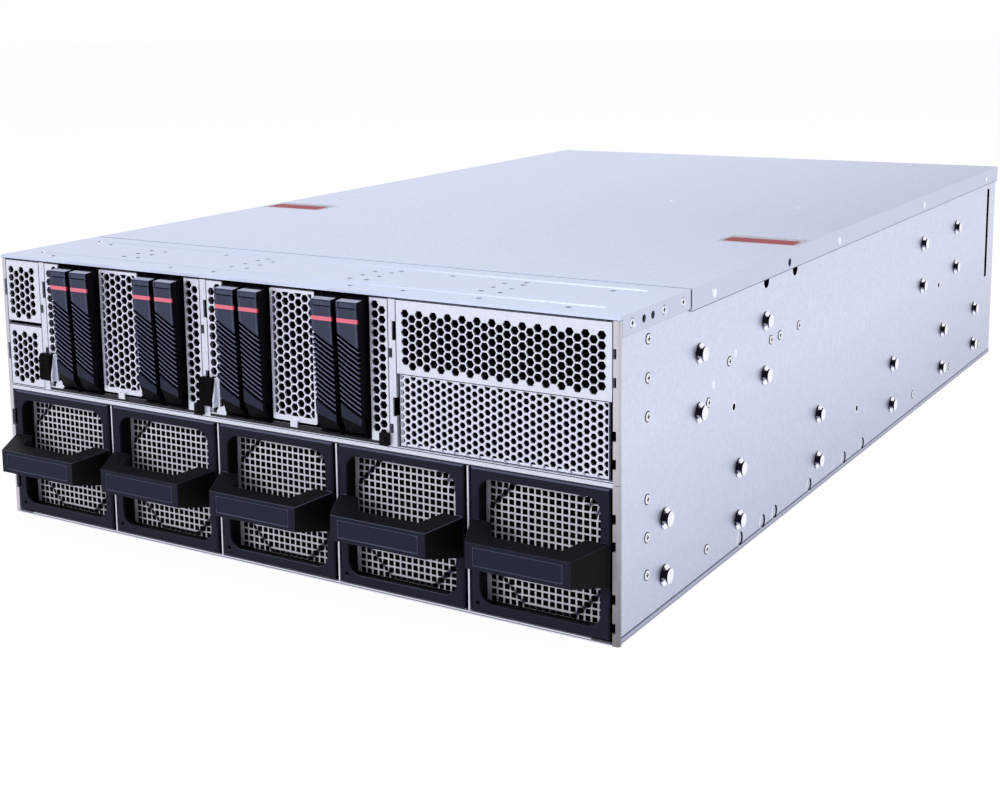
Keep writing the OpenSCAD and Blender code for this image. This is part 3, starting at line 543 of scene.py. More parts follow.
@dataclass
class Studio:
    """The camera, the pale floor, the world and the lamps."""

    eye: tuple[float, float, float] = (0.556923, -1.096925, 0.330379)
    azimuth: float = -0.580896
    elevation: float = -0.163538
    roll: float = -0.018339
    lens: float = 56.149
    sensor: float = 36.0
    shift: tuple[float, float] = (0.088333, -0.135799)
    clip: tuple[float, float] = (0.01, 50.0)
    floor_half: float = 12.0
    floor_drop: float = 0.5

    def camera(self) -> None:
        """Sets the camera at the viewing angle of a three-quarter product shot."""
        ahead = Vector(
            (
                math.sin(self.azimuth) * math.cos(self.elevation),
                math.cos(self.azimuth) * math.cos(self.elevation),
                math.sin(self.elevation),
            )
        )
        level = Vector((math.cos(self.azimuth), -math.sin(self.azimuth), 0))
        top = level.cross(ahead)
        right = level * math.cos(self.roll) + top * math.sin(self.roll)
        up = top * math.cos(self.roll) - level * math.sin(self.roll)
        data = bpy.data.cameras.new("camera")
        data.lens = self.lens
        data.sensor_width = self.sensor
        data.shift_x, data.shift_y = self.shift
        data.clip_start, data.clip_end = self.clip
        made = bpy.data.objects.new("camera", data)
        turn = Matrix((right, up, -ahead)).transposed().to_4x4()
        made.matrix_world = Matrix.Translation(self.eye) @ turn
        bpy.context.scene.collection.objects.link(made)
        bpy.context.scene.camera = made

    def floor(self) -> None:
        """Lays a large floor, white to the eye and to reflections, that keeps a faint shadow."""
        material = bpy.data.materials.new("studio_floor")
        material.use_nodes = True
        tree = material.node_tree
        tree.nodes.clear()
        path = add(tree, "ShaderNodeLightPath").outputs
        rays = {0: path["Is Camera Ray"], 1: path["Is Glossy Ray"]}
        seen = add(tree, "ShaderNodeMath", rays, operation="ADD")
        plain = add(tree, "ShaderNodeBsdfDiffuse", {"Color": linear("#D9D9DC")})
        shade = add(tree, "ShaderNodeBsdfDiffuse", {"Color": linear("#6E6E70")})
        glow = add(tree, "ShaderNodeEmission", {"Color": (1, 1, 1, 1), "Strength": 0.93})
        white = add(tree, "ShaderNodeAddShader", {0: shade.outputs[0], 1: glow.outputs[0]})
        mixed = add(tree, "ShaderNodeMixShader", {0: seen.outputs[0], 1: plain.outputs[0], 2: white.outputs[0]})
        add(tree, "ShaderNodeOutputMaterial", {"Surface": mixed.outputs[0]})
        mesh = bmesh.new()
        bmesh.ops.create_grid(mesh, x_segments=1, y_segments=1, size=self.floor_half)
        bmesh.ops.translate(mesh, verts=mesh.verts, vec=(0, 0, -self.floor_drop * MM))
        piece_from(mesh, "floor", material)

    def world(self) -> None:
        """Makes the world white to the eye and to reflections, and softer as a light."""
        world = bpy.data.worlds.new("studio")
        bpy.context.scene.world = world
        world.use_nodes = True
        tree = world.node_tree
        tree.nodes.clear()
        path = add(tree, "ShaderNodeLightPath").outputs
        rays = {0: path["Is Camera Ray"], 1: path["Is Glossy Ray"]}
        first = add(tree, "ShaderNodeMath", rays, operation="ADD")
        rest = {0: first.outputs[0], 1: path["Is Transmission Ray"]}
        seen = add(tree, "ShaderNodeMath", rest, operation="ADD", use_clamp=True)
        soft = add(tree, "ShaderNodeBackground", {"Color": linear("#E4EAFB"), "Strength": 0.42})
        white = add(tree, "ShaderNodeBackground", {"Color": (1, 1, 1, 1), "Strength": 1.0})
        mixed = add(tree, "ShaderNodeMixShader", {0: seen.outputs[0], 1: soft.outputs[0], 2: white.outputs[0]})
        add(tree, "ShaderNodeOutputWorld", {"Surface": mixed.outputs[0]})

    def lamp(self, name: str, at: Sequence[float], to: Sequence[float], size: float, power: float, tint: str) -> None:
        """Hangs one soft square lamp.

        Args:
            name: The lamp's name.
            at: Where it hangs, in metres.
            to: The point that it faces.
            size: Length of its side in metres.
            power: Its power in watts.
            tint: Its colour.
        """
        data = bpy.data.lights.new(name, "AREA")
        data.size = size
        data.energy = power
        data.color = linear(tint)[:3]
        made = bpy.data.objects.new(name, data)
        made.location = at
        made.rotation_euler = (Vector(to) - Vector(at)).to_track_quat("-Z", "Y").to_euler()
        bpy.context.scene.collection.objects.link(made)

    def build(self) -> None:
        """Builds the whole studio."""
        bpy.context.scene.view_settings.view_transform = "Standard"
        self.camera()
        self.floor()
        self.world()
        self.lamp("key", (-0.9, -2.6, 1.1), (0, -0.35, 0.1), 1.2, 26, "#F4F6FF")
        self.lamp("overhead", (-0.2, 0.3, 2.2), (0, 0, 0.1), 1.6, 12, "#EEF2FF")
        self.lamp("side", (2.4, -0.2, 0.9), (0.2, 0, 0.1), 1.2, 8, "#EEF2FF")


# ---------- sub-assemblies ----------


class Slot(Enum):
    """The record's material slots for the new pieces."""

    GUARD = "guard_steel"
    BEZEL = "bezel_plastic"
    SCREW = "screw_steel"
    LEVER = "lever_plastic"
    COVER = "cover_steel"


def attach(piece: bpy.types.Object, body: str, slot: Slot, *instead: str) -> None:
    """Makes a piece ride on a body and hides the nodes that it stands for.

    Args:
        piece: The new piece.
        body: The body that it moves with.
        slot: Its material slot in the record; not used.
        *instead: CAD nodes that it replaces.
    """
    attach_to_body(piece, body)
    if instead:
        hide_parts(*instead)


@dataclass
class Housing:
    """The folded steel housing with its covers, frame, panels and inner blocks."""

    half_width: float = 223.5
    # Painted shade: near black for the inside faces and depths, which the light doesn't reach
    inner: str = "#14151A"
    # Punched panels: the width of the painted shade along a seam, a face's greatest setback, the depth past which it is
    # painted black as shade, and its least width and height
    seam: float = 0.3
    setback: float = 2.5
    face_depth: float = 3.2
    face_least: tuple[float, float] = (10.0, 40.0)
    # Front frame: inner edge of the flanges, the heights over which the painted shade on the right flange's foot fades
    # out, the depth past which the inside is painted as shade, and the folds of deck and base
    flange_in: float = 219.45
    flange_shade: tuple[float, float] = (10.0, 120.0)
    frame_depth: float = 3.0
    fold_lines: Spots = ((84.6, 85.5), (87.8, 88.3), (0.7, 1.05))
    # Covers: pressed marks and lower edge of the skirt, and how far back the painted shade on the top takes to reach
    # its full strength
    skirt_marks: Spots = ((122, 167.4), (343, 167.4), (554, 167.4), (757, 167.4))
    skirt_mark_r: float = 2.6
    skirt_edge: float = 162.5
    fall_off: float = 360.0
    # Side walls: height of the hem, of the skirt over them and of the painted shade at their foot, and their marks
    hem_z: float = 3.2
    skirt_z: float = 163.2
    shaded_z: float = 110.0
    tooling_marks: Spots = ((172, 6.8), (210, 6.8), (231.5, 6.8), (297.5, 6.8), (371, 6.8), (413.5, 6.8))
    tooling_r: float = 4.3
    wall_holes: Spots = ((158.5, 92.5), (398, 37), (613, 93.5))
    wall_hole_r: float = 3.1
    wall_domes: Spots = ((160, 125), (126.5, 113))
    wall_dome_r: float = 2.4
    # Stickers: width and length, thickness, spots, and the white border's sides, front and rear
    sticker_size: tuple[float, float] = (54.0, 29.0)
    sticker_t: float = 0.1
    sticker_spots: Spots = ((-194.0, 287.0), (195.0, 275.0))
    sticker_border: tuple[float, float, float] = (3.0, 2.5, 9.0)

    def panel_zones(self, node: str) -> Zones:
        """Makes the zones of one punched panel.

        Args:
            node: The panel's CAD node.

        Returns:
            The function that paints the shade of its seam lines and its depths.
        """
        front = (FRONT_Y + self.setback) * MM
        wide, tall = (least * MM for least in self.face_least)
        boxes = [
            (low, high)
            for low, high in islands(node)
            if low.y < front and high.x - low.x > wide and high.z - low.z > tall
        ]

        def zones(masks: Masks, colour: Any) -> Any:
            """Paints shade along the panel's edges, so that the seam lines look wider, and black shade on what lies
            behind the face.
            """
            # Painted shade at the panel's edges, then painted black shade behind the face
            seam_shade = masks.paint(masks.rim(boxes, self.seam), colour, "#26262C")
            return masks.paint(masks.behind(self.face_depth), seam_shade, "#0C0D11")

        return zones

    def frame_zones(self, masks: Masks, colour: Any) -> Any:
        """Gives the front flanges their warmer zinc and the folds of deck and base their lines, paints shade on the
        right flange's lower part, and paints the inside behind the frame as shade.

        Args:
            masks: The zones of the material.
            colour: The sheet's own colour.

        Returns:
            The final colour.
        """
        bent = masks.under(masks.facing[1], -FACES / 2)
        flange = masks.over(masks.side, self.flange_in * MM)
        between = masks.under(masks.side, self.flange_in * MM)
        foot = masks.outside(masks.ramp(masks.place[2], *self.flange_shade))
        # Painted shade on the right flange, strongest at its foot and fading out upwards
        low_right = masks.both(flange, masks.over(masks.place[0], 0.0), foot, 0.75)
        warm = masks.paint(masks.both(flange, bent), colour, "#CFCACF")
        shaded = masks.paint(low_right, warm, "#5B595E")
        folds = masks.either(*(masks.band(masks.place[2], low, high) for low, high in self.fold_lines))
        lined = masks.paint(masks.both(folds, between, bent), shaded, "#23252E")
        # Painted shade on what lies behind the frame between the flanges
        return masks.paint(masks.both(masks.behind(self.frame_depth), between), lined, self.inner)

    def cover_zones(self, masks: Masks, colour: Any) -> Any:
        """Paints the skirt a little darker than the top and the top darker towards the right and the rear, both as
        shade; darkens the skirt's lower edge, keeps its pressed marks pale and paints the inward faces as shade.

        Args:
            masks: The zones of the material.
            colour: The sheet's own colour.

        Returns:
            The final colour.
        """
        skirt = masks.over(masks.sideways, FACES)
        across = masks.ramp(masks.place[0], -self.half_width, self.half_width)
        along = masks.ramp(masks.place[1], FRONT_Y, FRONT_Y + self.fall_off)
        # Painted shade on the top, growing towards the right and the rear
        top = masks.paint(masks.both(across, across, along, 0.8), colour, "#A9AFC5")
        # Painted shade: the skirt a little darker than the top
        shaded = masks.paint(skirt, top, "#CBD0E3")
        edge = masks.both(skirt, masks.under(masks.place[2], self.skirt_edge * MM))
        edged = masks.paint(edge, shaded, "#6C7184")
        marks = masks.both(skirt, masks.disc(self.skirt_marks, self.skirt_mark_r))
        marked = masks.paint(marks, edged, "#F4F7FF")
        # Painted shade on the faces that turn inwards
        return masks.paint(masks.under(masks.outward, -SKIN), marked, self.inner)

    def wall_zones(self, masks: Masks, colour: Any) -> Any:
        """Paints shade on the walls' lower part, darkens the hem and its lines, paints a highlight and a shadow
        crescent at each pressed mark and pale discs at the holes and domes, and paints shade on all the rest, such as
        the faces that turn inwards and what lies under the skirt.

        Args:
            masks: The zones of the material.
            colour: The sheet's own colour.

        Returns:
            The final colour.
        """
        height = masks.place[2]
        # Painted shade, darker towards the foot
        foot = masks.outside(masks.ramp(height, 0, self.shaded_z))
        wall = masks.paint(masks.both(foot, 0.55), colour, "#A3A9BF")
        hem = masks.paint(masks.under(height, self.hem_z * MM), wall, "#A7ACC2")
        fold = masks.band(height, self.hem_z - 0.5, self.hem_z + 0.3)
        lined = masks.paint(masks.either(fold, masks.under(height, 0.7 * MM)), hem, "#7E8399")
        # A painted highlight crescent in front of each pressed mark and a painted shadow crescent at its rear
        pressed = masks.disc(self.tooling_marks, self.tooling_r)
        painted_highlight_crescent = masks.both(masks.disc(self.tooling_marks, self.tooling_r, -1.1), masks.outside(pressed))
        painted_shadow_crescent = masks.both(pressed, masks.outside(masks.disc(self.tooling_marks, self.tooling_r, -1.5)))
        marked = masks.paint(painted_shadow_crescent, masks.paint(painted_highlight_crescent, lined, "#F6F8FF"), "#14151B")
        rims = masks.paint(masks.disc(self.wall_holes, self.wall_hole_r), marked, "#F2F5FF")
        domes = masks.paint(masks.disc(self.wall_domes, self.wall_dome_r), rims, "#EDF1FF")
        # Painted shade on all the rest: the faces that turn inwards and what lies under the skirt
        skin = masks.both(masks.over(masks.outward, SKIN), masks.under(height, self.skirt_z * MM))
        shown = masks.either(skin, masks.under(height, 0.6 * MM), masks.over(masks.facing[1], FACES))
        return masks.paint(shown, self.inner, domes)

    def sticker_zones(self, masks: Masks, colour: Any) -> Any:
        """Leaves a white border round the red field, wider at the rear.

        Args:
            masks: The zones of the material.
            colour: The film's own colour.

        Returns:
            The final colour.
        """
        half_w, half_l = (size / 2 for size in self.sticker_size)
        side, front, rear = self.sticker_border
        fields = []
        for x, y in self.sticker_spots:
            across = masks.band(masks.place[0], x - half_w + side, x + half_w - side)
            along = masks.band(masks.place[1], FRONT_Y + y - half_l + front, FRONT_Y + y + half_l - rear)
            fields.append(masks.both(across, along))
        return masks.paint(masks.either(*fields), "#F2F3F8", colour)

    def stickers(self) -> None:
        """Lays the two plain two-coloured stickers in the cover's top."""
        # Printed vinyl film, smooth and barely glossy
        label = MouldedPlastic(
            "printed_vinyl_film", "#D2424E", "#C83A47", roughness=0.4, zones=self.sticker_zones
        ).build()
        width, length = self.sticker_size
        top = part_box("top_cover")[1].z
        for number, (x, y) in enumerate(self.sticker_spots, 1):
            mesh = bmesh.new()
            middle = Vector((x * MM, (FRONT_Y + y) * MM, top))
            half = Vector((width / 2 * MM, length / 2 * MM, 0))
            block(mesh, middle - half - Vector((0, 0, self.sticker_t * MM)), middle + half, 0.04)
            attach(piece_from(mesh, f"cover_sticker_{number}", label), "cover", Slot.COVER)

    def stud_zones(self, masks: Masks, colour: Any) -> Any:
        """Paints dark reflections of the room behind on the turned necks, the rims of the heads and the backs, paler
        grey on the faces that look down.

        Args:
            masks: The zones of the material.
            colour: The studs' own colour.

        Returns:
            The final colour.
        """
        turned = masks.under(masks.sideways, 0.5)
        back = masks.under(masks.outward, -SKIN)
        # Painted reflection: near black, and paler grey on the faces that look down
        dark = masks.paint(masks.under(masks.facing[2], -0.35), "#14161E", "#8A90A5")
        return masks.paint(masks.either(turned, back), colour, dark)

    def build(self) -> None:
        """Dresses the housing's CAD nodes."""
        # Galvanised steel, rolled and folded: satin pale grey with a fine crystal mottle
        tub = SheetMetal("galvanised_tub_sheet", base="#DADFF0", patch="#D1D7EA", zones=self.wall_zones).build()
        covers = SheetMetal("galvanised_cover_sheet", base="#CBD2E8", patch="#C2CAE1", zones=self.cover_zones).build()
        for node in ("chassis_tub", "rear_panel"):
            dress(node, tub)
        for node in ("front_top_panel", "top_cover"):
            dress(node, covers)
        # Galvanised steel again, with a duller coat that mirrors little of its dark neighbours
        front = SheetMetal(
            "galvanised_front_frame", base="#E4E6F0", patch="#D8DBE9", metallic=0.6, zones=self.frame_zones
        )
        dress("front_frame", front.build())
        # Punched galvanised steel: bright webs, painted shade along the seam edges and painted black shade in the
        # depths
        for node in ("drive_cages", "bay_fillers", "io_blanks", "upper_vent_panel", "lower_vent_panel"):
            punched = SheetMetal(
                f"punched_sheet_{node}", base="#E6E8F2", patch="#DADDEB", metallic=0.6, zones=self.panel_zones(node)
            )
            dress(node, punched.build())
        # Turned and zinc plated steel: near mirror faces, with painted dark reflections on the necks
        studs = SheetMetal("zinc_plated_studs", base="#F6F8FC", patch="#ECEFF6", roughness=0.12, zones=self.stud_zones)
        dress("side_studs", studs.build())
        # Glass fibre board under a green lacquer, moulded shrouds and soft rubber, all dull in the shade
        dress("circuit_boards", MouldedPlastic("glass_fibre_board", "#0A1E14", "#0E2619", specular=0.05).build())
        dress("compute_modules", MouldedPlastic("black_module_shroud", "#121317", "#18191D", specular=0.05).build())
        dress("cage_stops", MouldedPlastic("moulded_rubber", "#0A0A0C", "#121215", roughness=0.7).build())
        self.stickers()


@dataclass
class Screws:
    """Cross-headed screws in the sides, with the shaded ring of each countersink."""

    radius: float = 2.7
    chamfer: float = 0.3
    head_t: float = 0.5
    ring: float = 0.35
    ring_t: float = 0.2
    ring_depth: float = 0.45
    recess: float = 0.9
    recess_depth: float = 0.08
    recess_t: float = 0.1
    arm_share: float = 0.55
    segments: int = 20

    def build(self) -> None:
        """Makes the heads, and the dark rings and recess crosses that stand in as painted shade, in place of the plain
        ones.
        """
        heads, shades = bmesh.new(), bmesh.new()
        for low, high in islands("panel_screws"):
            middle = (low + high) / 2
            side = 1 if middle.x > 0 else -1
            face = high.x if side > 0 else low.x
            radius = min((high.y - low.y) / 2, self.radius * MM)
            turn = Matrix.Rotation(side * math.pi / 2, 4, "Y")
            seat = Matrix.Translation((face - side * self.head_t / 2 * MM, middle.y, middle.z)) @ turn
            bmesh.ops.create_cone(
                heads,
                cap_ends=True,
                segments=self.segments,
                radius1=radius,
                radius2=radius - self.chamfer * MM,
                depth=self.head_t * MM,
                matrix=seat,
            )
            ring = Matrix.Translation((face - side * self.ring_depth * MM, middle.y, middle.z)) @ turn
            bmesh.ops.create_cone(
                shades,
                cap_ends=True,
                segments=self.segments,
                radius1=radius + self.ring * MM,
                radius2=radius + self.ring * MM,
                depth=self.ring_t * MM,
                matrix=ring,
            )
            bar, arm = self.recess / 2 * MM, radius * self.arm_share
            at = Vector((face - side * self.recess_depth * MM, middle.y, middle.z))
            for half in ((bar, arm), (arm, bar)):
                reach = Vector((self.recess_t * MM, *half))
                block(shades, at - reach, at + reach)
        # Zinc plated steel: bright faces
        steel = SheetMetal("zinc_plated_screw_heads", base="#F4F6FC", patch="#E8EBF4", spangle_mm=1.5, roughness=0.3)
        # The shade in the driver's cross and round the head
        dark = MouldedPlastic("shaded_recess", "#15161C", "#1B1C24", roughness=0.6, specular=0.05)
        attach(piece_from(heads, "screw_heads", steel.build()), "chassis", Slot.SCREW, "panel_screws")
        attach(piece_from(shades, "screw_recess_shades", dark.build()), "chassis", Slot.SCREW)


@dataclass
class FanModules:
    """The five fan modules with their bezels, guards and rotors."""

    count: int = 5
    # Guard: holes across and up, their pitch, the wires' width and depth, and the dish
    columns: int = 18
    rows: int = 19
    pitch: float = 4.12
    wire: float = 1.05
    wire_depth: float = 0.9
    rise: float = 1.5
    ramp: float = 2.2
    margin: float = 1.0
    # Bezel: rounding and its depth, depth past which the duct is painted black as shade, handle's reach and its inset
    # field
    bezel_round: float = 0.9
    round_depth: float = 0.6
    duct_depth: float = 1.5
    bar_reach: float = 12.0
    inset: tuple[float, float] = (52.7, 9.7)
    inset_line: tuple[float, float] = (0.15, 0.35)

    def bezel_zones(self, masks: Masks, colour: Any) -> Any:
        """Paints a highlight on the upward front edges, outlines the inset, and paints shade: near black on the right
        sides, the undersides and the duct, and darker charcoal on the upper faces.

        Args:
            masks: The zones of the material.
            colour: The plastic's own colour.

        Returns:
            The final colour.
        """
        forward, upward = masks.under(masks.facing[1], -FACES / 2), masks.over(masks.facing[2], FACES / 2)
        proud = masks.ahead(0.5)
        shaded_flanks = masks.both(masks.over(masks.facing[0], 0.5), proud)
        shaded_undersides = masks.both(masks.under(masks.facing[2], -0.5), proud)
        shaded_tops = masks.both(masks.over(masks.facing[2], 0.9), proud)
        # Painted shade: near black on the right sides, the undersides and the duct, and darker charcoal on the upper
        # faces
        dark = masks.either(shaded_flanks, masks.behind(self.duct_depth), shaded_undersides)
        shaded = masks.paint(dark, masks.paint(shaded_tops, colour, "#15151B"), "#040406")
        # Painted highlight on the upward front edges
        wear_and_highlight = masks.paint(masks.both(upward, forward), shaded, "#6C7186")
        reach = Vector((self.inset[0] / 2 * MM, 0, self.inset[1] / 2 * MM))
        insets = []
        for number in range(1, self.count + 1):
            low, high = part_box(f"fan_bezel_{number}")
            insets.append(((low + high) / 2 - reach, (low + high) / 2 + reach))
        bar = masks.ahead(self.bar_reach)
        inner, outer = self.inset_line
        field = masks.both(masks.outside(masks.rim(insets, inner)), bar, masks.front)
        outline = masks.both(masks.rim(insets, inner, outer), bar)
        return masks.paint(outline, masks.paint(field, wear_and_highlight, "#272A3A"), "#565B70")

    def guard_zones(self, masks: Masks, colour: Any) -> Any:
        """Paints shade on the wires' cut sides and on the slope of the pressed dish.

        Args:
            masks: The zones of the material.
            colour: The wires' own colour.

        Returns:
            The final colour.
        """
        shaded_flanks = masks.over(masks.facing[1], -FACES)
        shaded_crease = masks.both(masks.over(masks.facing[1], -0.93), masks.front)
        return masks.paint(shaded_crease, masks.paint(shaded_flanks, colour, "#1C1D24"), "#5A5D6C")

    def is_hole(self, face: bmesh.types.BMFace) -> bool:
        """Tells whether a grid face is one of the square holes.

        Args:
            face: A face of the flat guard.

        Returns:
            True for a hole.
        """
        spans = [max(v.co[axis] for v in face.verts) - min(v.co[axis] for v in face.verts) for axis in (0, 1)]
        hole = (self.pitch - self.wire) * MM
        return all(abs(span - hole) < 0.02 * MM for span in spans)

    def guard(self, number: int, material: bpy.types.Material) -> None:
        """Makes one guard: a square mesh with an octagonal dish pressed towards the front.

        Args:
            number: The fan's number.
            material: The guard's finish.
        """
        low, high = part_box(f"fan_guard_{number}")
        middle = (low + high) / 2
        half_hole = (self.pitch - self.wire) / 2
        mesh = bmesh.new()
        bmesh.ops.create_grid(mesh, x_segments=2 * self.columns + 1, y_segments=2 * self.rows + 1, size=1.0)
        flat = (high.x - low.x) / 2, (high.z - low.z) / 2
        # The even grid's lines move to the holes' edges, and its outer lines to the plate's
        for vert in mesh.verts:
            for axis, holes in enumerate((self.columns, self.rows)):
                last = 2 * holes + 1
                line = round((vert.co[axis] + 1) / 2 * last)
                if line in (0, last):
                    vert.co[axis] *= flat[axis]
                    continue
                centre = ((line + 1) // 2 - 0.5 - holes / 2) * self.pitch
                vert.co[axis] = (centre + (half_hole if line % 2 == 0 else -half_hole)) * MM
        bmesh.ops.delete(mesh, geom=[face for face in mesh.faces if self.is_hole(face)], context="FACES")
        reach = flat[1] / MM - self.margin
        for vert in mesh.verts:
            across, up = abs(vert.co.x) / MM, abs(vert.co.y) / MM
            inside = min(reach - across, reach - up, reach - (across + up) / math.sqrt(2))
            vert.co.z = max(0.0, min(1.0, inside / self.ramp)) * self.rise * MM
        bmesh.ops.recalc_face_normals(mesh, faces=mesh.faces)
        bmesh.ops.solidify(mesh, geom=mesh.faces, thickness=self.wire_depth * MM)
        bmesh.ops.rotate(mesh, verts=mesh.verts, cent=(0, 0, 0), matrix=Matrix.Rotation(math.pi / 2, 3, "X"))
        bmesh.ops.translate(mesh, verts=mesh.verts, vec=(middle.x, high.y - self.wire_depth * MM, middle.z))
        piece = piece_from(mesh, f"guard_mesh_{number}", material)
        attach(piece, f"fan_{number}", Slot.GUARD, f"fan_guard_{number}")

    def build(self) -> None:
        """Dresses every module."""
        # ABS moulded in a lightly eroded tool: dull charcoal, with a painted highlight on the upward front edges and
        # painted shade on its sides, undersides and duct
        bezel = MouldedPlastic("moulded_bezel_abs", "#1D1F2B", "#222533", roughness=0.5, zones=self.bezel_zones).build()
        # Glass filled nylon blades, black in the duct's shade
        rotor = MouldedPlastic("moulded_rotor", "#060607", "#0A0A0C").build()
        # Pressed and plated steel mesh: white-bright webs, with painted shade on the cut sides and the dish's slope
        guard = SheetMetal(
            "plated_guard_wire", base="#FFFFFF", patch="#F6F6FC", roughness=0.35, metallic=0.05, zones=self.guard_zones
        ).build()
        for number in range(1, self.count + 1):
            shell = f"bezel_shell_{number}"
            piece = softened(f"fan_bezel_{number}", shell, self.bezel_round, self.round_depth, bezel)
            attach(piece, f"fan_{number}", Slot.BEZEL, f"fan_bezel_{number}")
            dress(f"fan_rotor_{number}", rotor)
            self.guard(number, guard)


@dataclass
class Drives:
    """The eight drives with their levers and buttons, and the cages' latches."""

    count: int = 8
    latches: int = 2
    width: float = 13.9
    proud: float = 9.5
    crown_z: float = 166.0
    crown_reach: float = 4.0
    # Lever: top and foot, how far it leans over that height, and the foot line's fall
    lever_top: float = 166.1
    lever_foot: float = 99.2
    slope: float = 2.9
    foot_drop: float = 4.0
    # Depth of the face's skin, how far back the painted highlight on the rib ends reaches on the right side, and the
    # bands of painted highlight along the face's edges
    skin: float = 0.35
    flank_reach: float = 6.6
    face_highlight: tuple[float, float] = (0.9, 1.5)
    # Ribs: where they start and end, their fall and its bend, their pitch and the band of painted highlight on the
    # crests
    rib_top: float = 151.8
    rib_end: float = 111.6
    rib_drop: float = 8.0
    rib_bend: float = 0.15
    rib_pitch: float = 2.95
    rib_crest: tuple[float, float] = (0.42, 1.1)
    # Light strip: heights, how far it goes round the lever, what it stands proud and its rounding
    strip_z: tuple[float, float] = (157.9, 160.5)
    strip_wrap: float = 1.3
    strip_over: tuple[float, float, float] = (0.05, 0.02, 0.1)
    strip_round: float = 0.15

    @property
    def lean(self) -> float:
        """How far the lever's face moves back for each step down."""
        return self.slope / (self.lever_top - self.lever_foot)

    def carrier_zones(self, masks: Masks, colour: Any) -> Any:
        """Gives the crown a painted highlight on its top, and its grey front.

        Args:
            masks: The zones of the material.
            colour: The plastic's own colour.

        Returns:
            The final colour.
        """
        crown = masks.both(masks.ahead(self.crown_reach), masks.over(masks.place[2], self.crown_z * MM))
        # Painted highlight on the crown's upper face
        top = masks.both(masks.over(masks.facing[2], FACES), crown)
        return masks.paint(top, masks.paint(masks.both(masks.front, crown), colour, "#5A5F75"), "#C3C6D4")

    def lever_zones(self, left: float) -> Zones:
        """Makes the zones of one lever: face, ribs, chin and foot, with painted highlights on the rib crests, the
        face's edges and the rib ends on the right side.

        Args:
            left: The lever's left edge in metres.

        Returns:
            The function that paints them.
        """

        def zones(masks: Masks, colour: Any) -> Any:
            """Paints the lever's zones by its own slots and foot line.

            Args:
                masks: The zones of the material.
                colour: The plastic's own colour.

            Returns:
                The final colour.
            """
            tree, height = masks.tree, masks.place[2]
            across = add(tree, "ShaderNodeMath", {0: masks.place[0], 1: left}, operation="SUBTRACT").outputs[0]
            share = add(tree, "ShaderNodeMath", {0: across, 1: self.width * MM}, operation="DIVIDE").outputs[0]
            # Height as the slots see it, which fall to the right and flatten out
            terms = {0: share, 1: -self.rib_bend, 2: 1 + self.rib_bend}
            bend = add(tree, "ShaderNodeMath", terms, operation="MULTIPLY_ADD").outputs[0]
            terms = {0: masks.both(share, bend), 1: self.rib_drop * MM, 2: height}
            level = add(tree, "ShaderNodeMath", terms, operation="MULTIPLY_ADD").outputs[0]
            # Height above the slanting foot line
            terms = {0: share, 1: self.foot_drop * MM, 2: height}
            foot_level = add(tree, "ShaderNodeMath", terms, operation="MULTIPLY_ADD").outputs[0]
            # Depth on the leaning face
            terms = {0: height, 1: self.lean, 2: masks.place[1]}
            depth = add(tree, "ShaderNodeMath", terms, operation="MULTIPLY_ADD").outputs[0]
            skin_y = FRONT_Y - self.proud + self.lean * self.lever_top + self.skin
            skin = masks.both(masks.front, masks.under(depth, skin_y * MM))
            chin = masks.both(skin, masks.over(foot_level, (self.lever_foot + self.foot_drop) * MM))
            ribbed = masks.over(level, self.rib_end * MM)
            face = masks.over(level, self.rib_top * MM)
            fallen = add(tree, "ShaderNodeMath", {0: level, 1: self.rib_top * MM}, operation="SUBTRACT").outputs[0]
            step = {0: fallen, 1: self.rib_pitch * MM}
            phase = add(tree, "ShaderNodeMath", step, operation="FLOORED_MODULO").outputs[0]
            lit_crest = masks.band(phase, *self.rib_crest)
            # Painted highlight on the crests, near black between them
            ribs = masks.paint(lit_crest, "#0E0F14", "#8488A0")
            grey = masks.paint(face, masks.paint(ribbed, "#343745", ribs), "#4B4F60")
            # Painted highlight along the face's rounded left and right edges
            near, far = self.face_highlight
            lit_borders = masks.either(
                masks.band(across, near, far), masks.band(across, self.width - far, self.width - near)
            )
            lined = masks.paint(masks.both(lit_borders, face), grey, "#63677B")
            # Painted highlight on the rib ends that show on the right side
            right = masks.both(masks.over(masks.facing[0], FACES), ribbed, masks.ahead(self.flank_reach))
            lit_rib_ends = masks.both(right, masks.outside(face), lit_crest)
            return masks.paint(lit_rib_ends, masks.paint(chin, colour, lined), "#4C5063")

        return zones

    def strip_zones(self, masks: Masks, colour: Any) -> Any:
        """Deepens the red where the strip turns the corner."""
        return masks.paint(masks.over(masks.facing[0], FACES), colour, "#A00A1E")

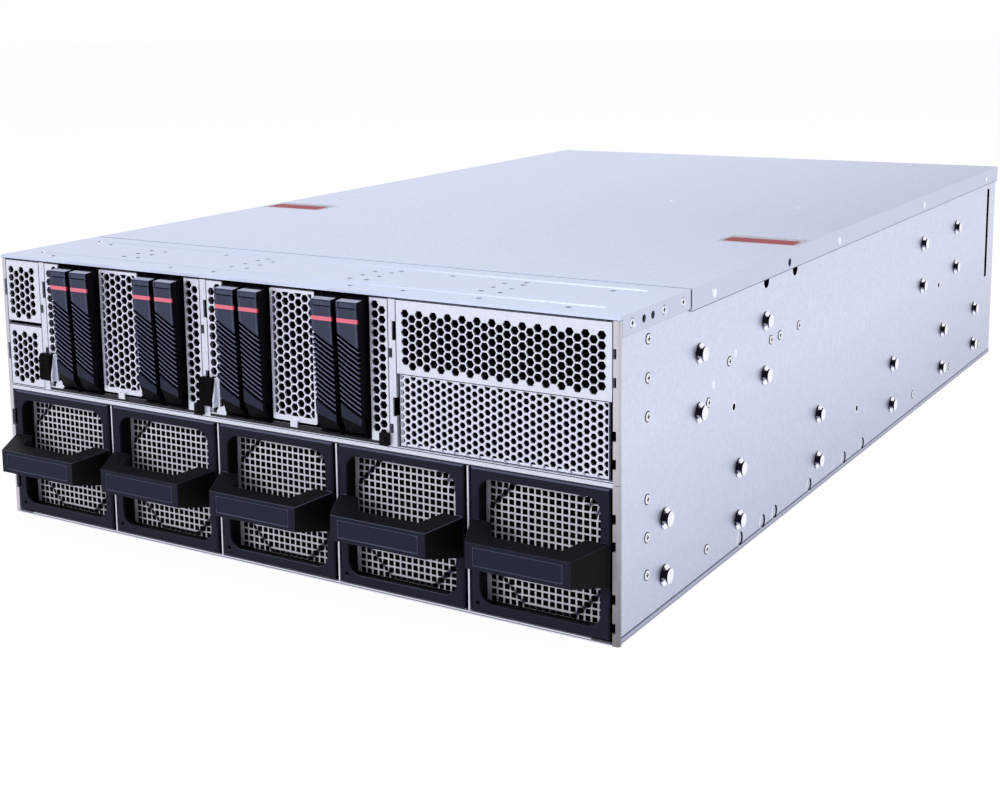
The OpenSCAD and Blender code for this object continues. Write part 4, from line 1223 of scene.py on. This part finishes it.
    def strip(self, number: int, material: bpy.types.Material) -> None:
        """Lays the red light strip across one lever and a little way round its right side.

        Args:
            number: The lever's number.
            material: The strip's finish.
        """
        low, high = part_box(f"drive_lever_{number}")
        left, out, right = (over * MM for over in self.strip_over)
        foot, head = (z * MM for z in self.strip_z)
        mesh = bmesh.new()
        corner = (low.x - left, low.y - out, foot)
        block(mesh, corner, (high.x + right, low.y + self.strip_wrap * MM, head), self.strip_round)
        for vert in mesh.verts:
            vert.co.y += self.lean * (self.lever_top * MM - vert.co.z)
        attach(piece_from(mesh, f"light_strip_{number}", material), f"lever_{number}", Slot.LEVER)

    def build(self) -> None:
        """Dresses every drive."""
        # Moulded ABS, near black and dull, with painted highlights where the rib crests and the crowns catch light
        carrier = MouldedPlastic(
            "moulded_carrier", "#08090D", "#0C0D12", specular=0.06, zones=self.carrier_zones
        ).build()
        # ABS rubbed by fingers: a mottle of grey on charcoal
        button = MouldedPlastic("moulded_button", "#343849", "#6A6F86", cloud_mm=1.6).build()
        # Glass filled nylon, black and without gloss
        latch = MouldedPlastic("moulded_latch", "#020203", "#060608", specular=0.04).build()
        # Tinted clear polycarbonate over a lamp: a pale red that glows a little
        red = MouldedPlastic(
            "translucent_red_strip",
            "#FF8C9B",
            "#FF8292",
            roughness=0.3,
            specular=0.2,
            zones=self.strip_zones,
            glow=0.12,
        ).build()
        for number in range(1, self.count + 1):
            low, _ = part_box(f"drive_lever_{number}")
            dress(f"drive_{number}", carrier)
            dress(f"drive_button_{number}", button)
            # The carrier's ABS again, with the lever's own painted zones: its grey face and painted highlights
            lever = MouldedPlastic(
                f"moulded_lever_{number}", "#08090D", "#0C0D12", specular=0.06, zones=self.lever_zones(low.x)
            )
            dress(f"drive_lever_{number}", lever.build())
            self.strip(number, red)
        for number in range(1, self.latches + 1):
            dress(f"cage_latch_{number}", latch)


@dataclass
class PowerSupplies:
    """The four power supplies at the rear."""

    count: int = 4

    def build(self) -> None:
        """Dresses every power supply."""
        # Plated steel case: a duller grey than the housing, with a coarser mottle
        case = SheetMetal("plated_supply_case", base="#C9CCD4", patch="#B9BCC6", spangle_mm=5).build()
        for number in range(1, self.count + 1):
            dress(f"psu_{number}", case)


def main() -> None:
    """Builds the studio and dresses each sub-assembly in order."""
    logging.basicConfig(level=logging.INFO, format="%(name)s: %(message)s")
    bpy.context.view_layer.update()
    for part in (Studio(), Housing(), Screws(), FanModules(), Drives(), PowerSupplies()):
        part.build()
        LOG.info("%s done, %d objects", type(part).__name__, len(bpy.data.objects))


if __name__ == "__main__":
    main()
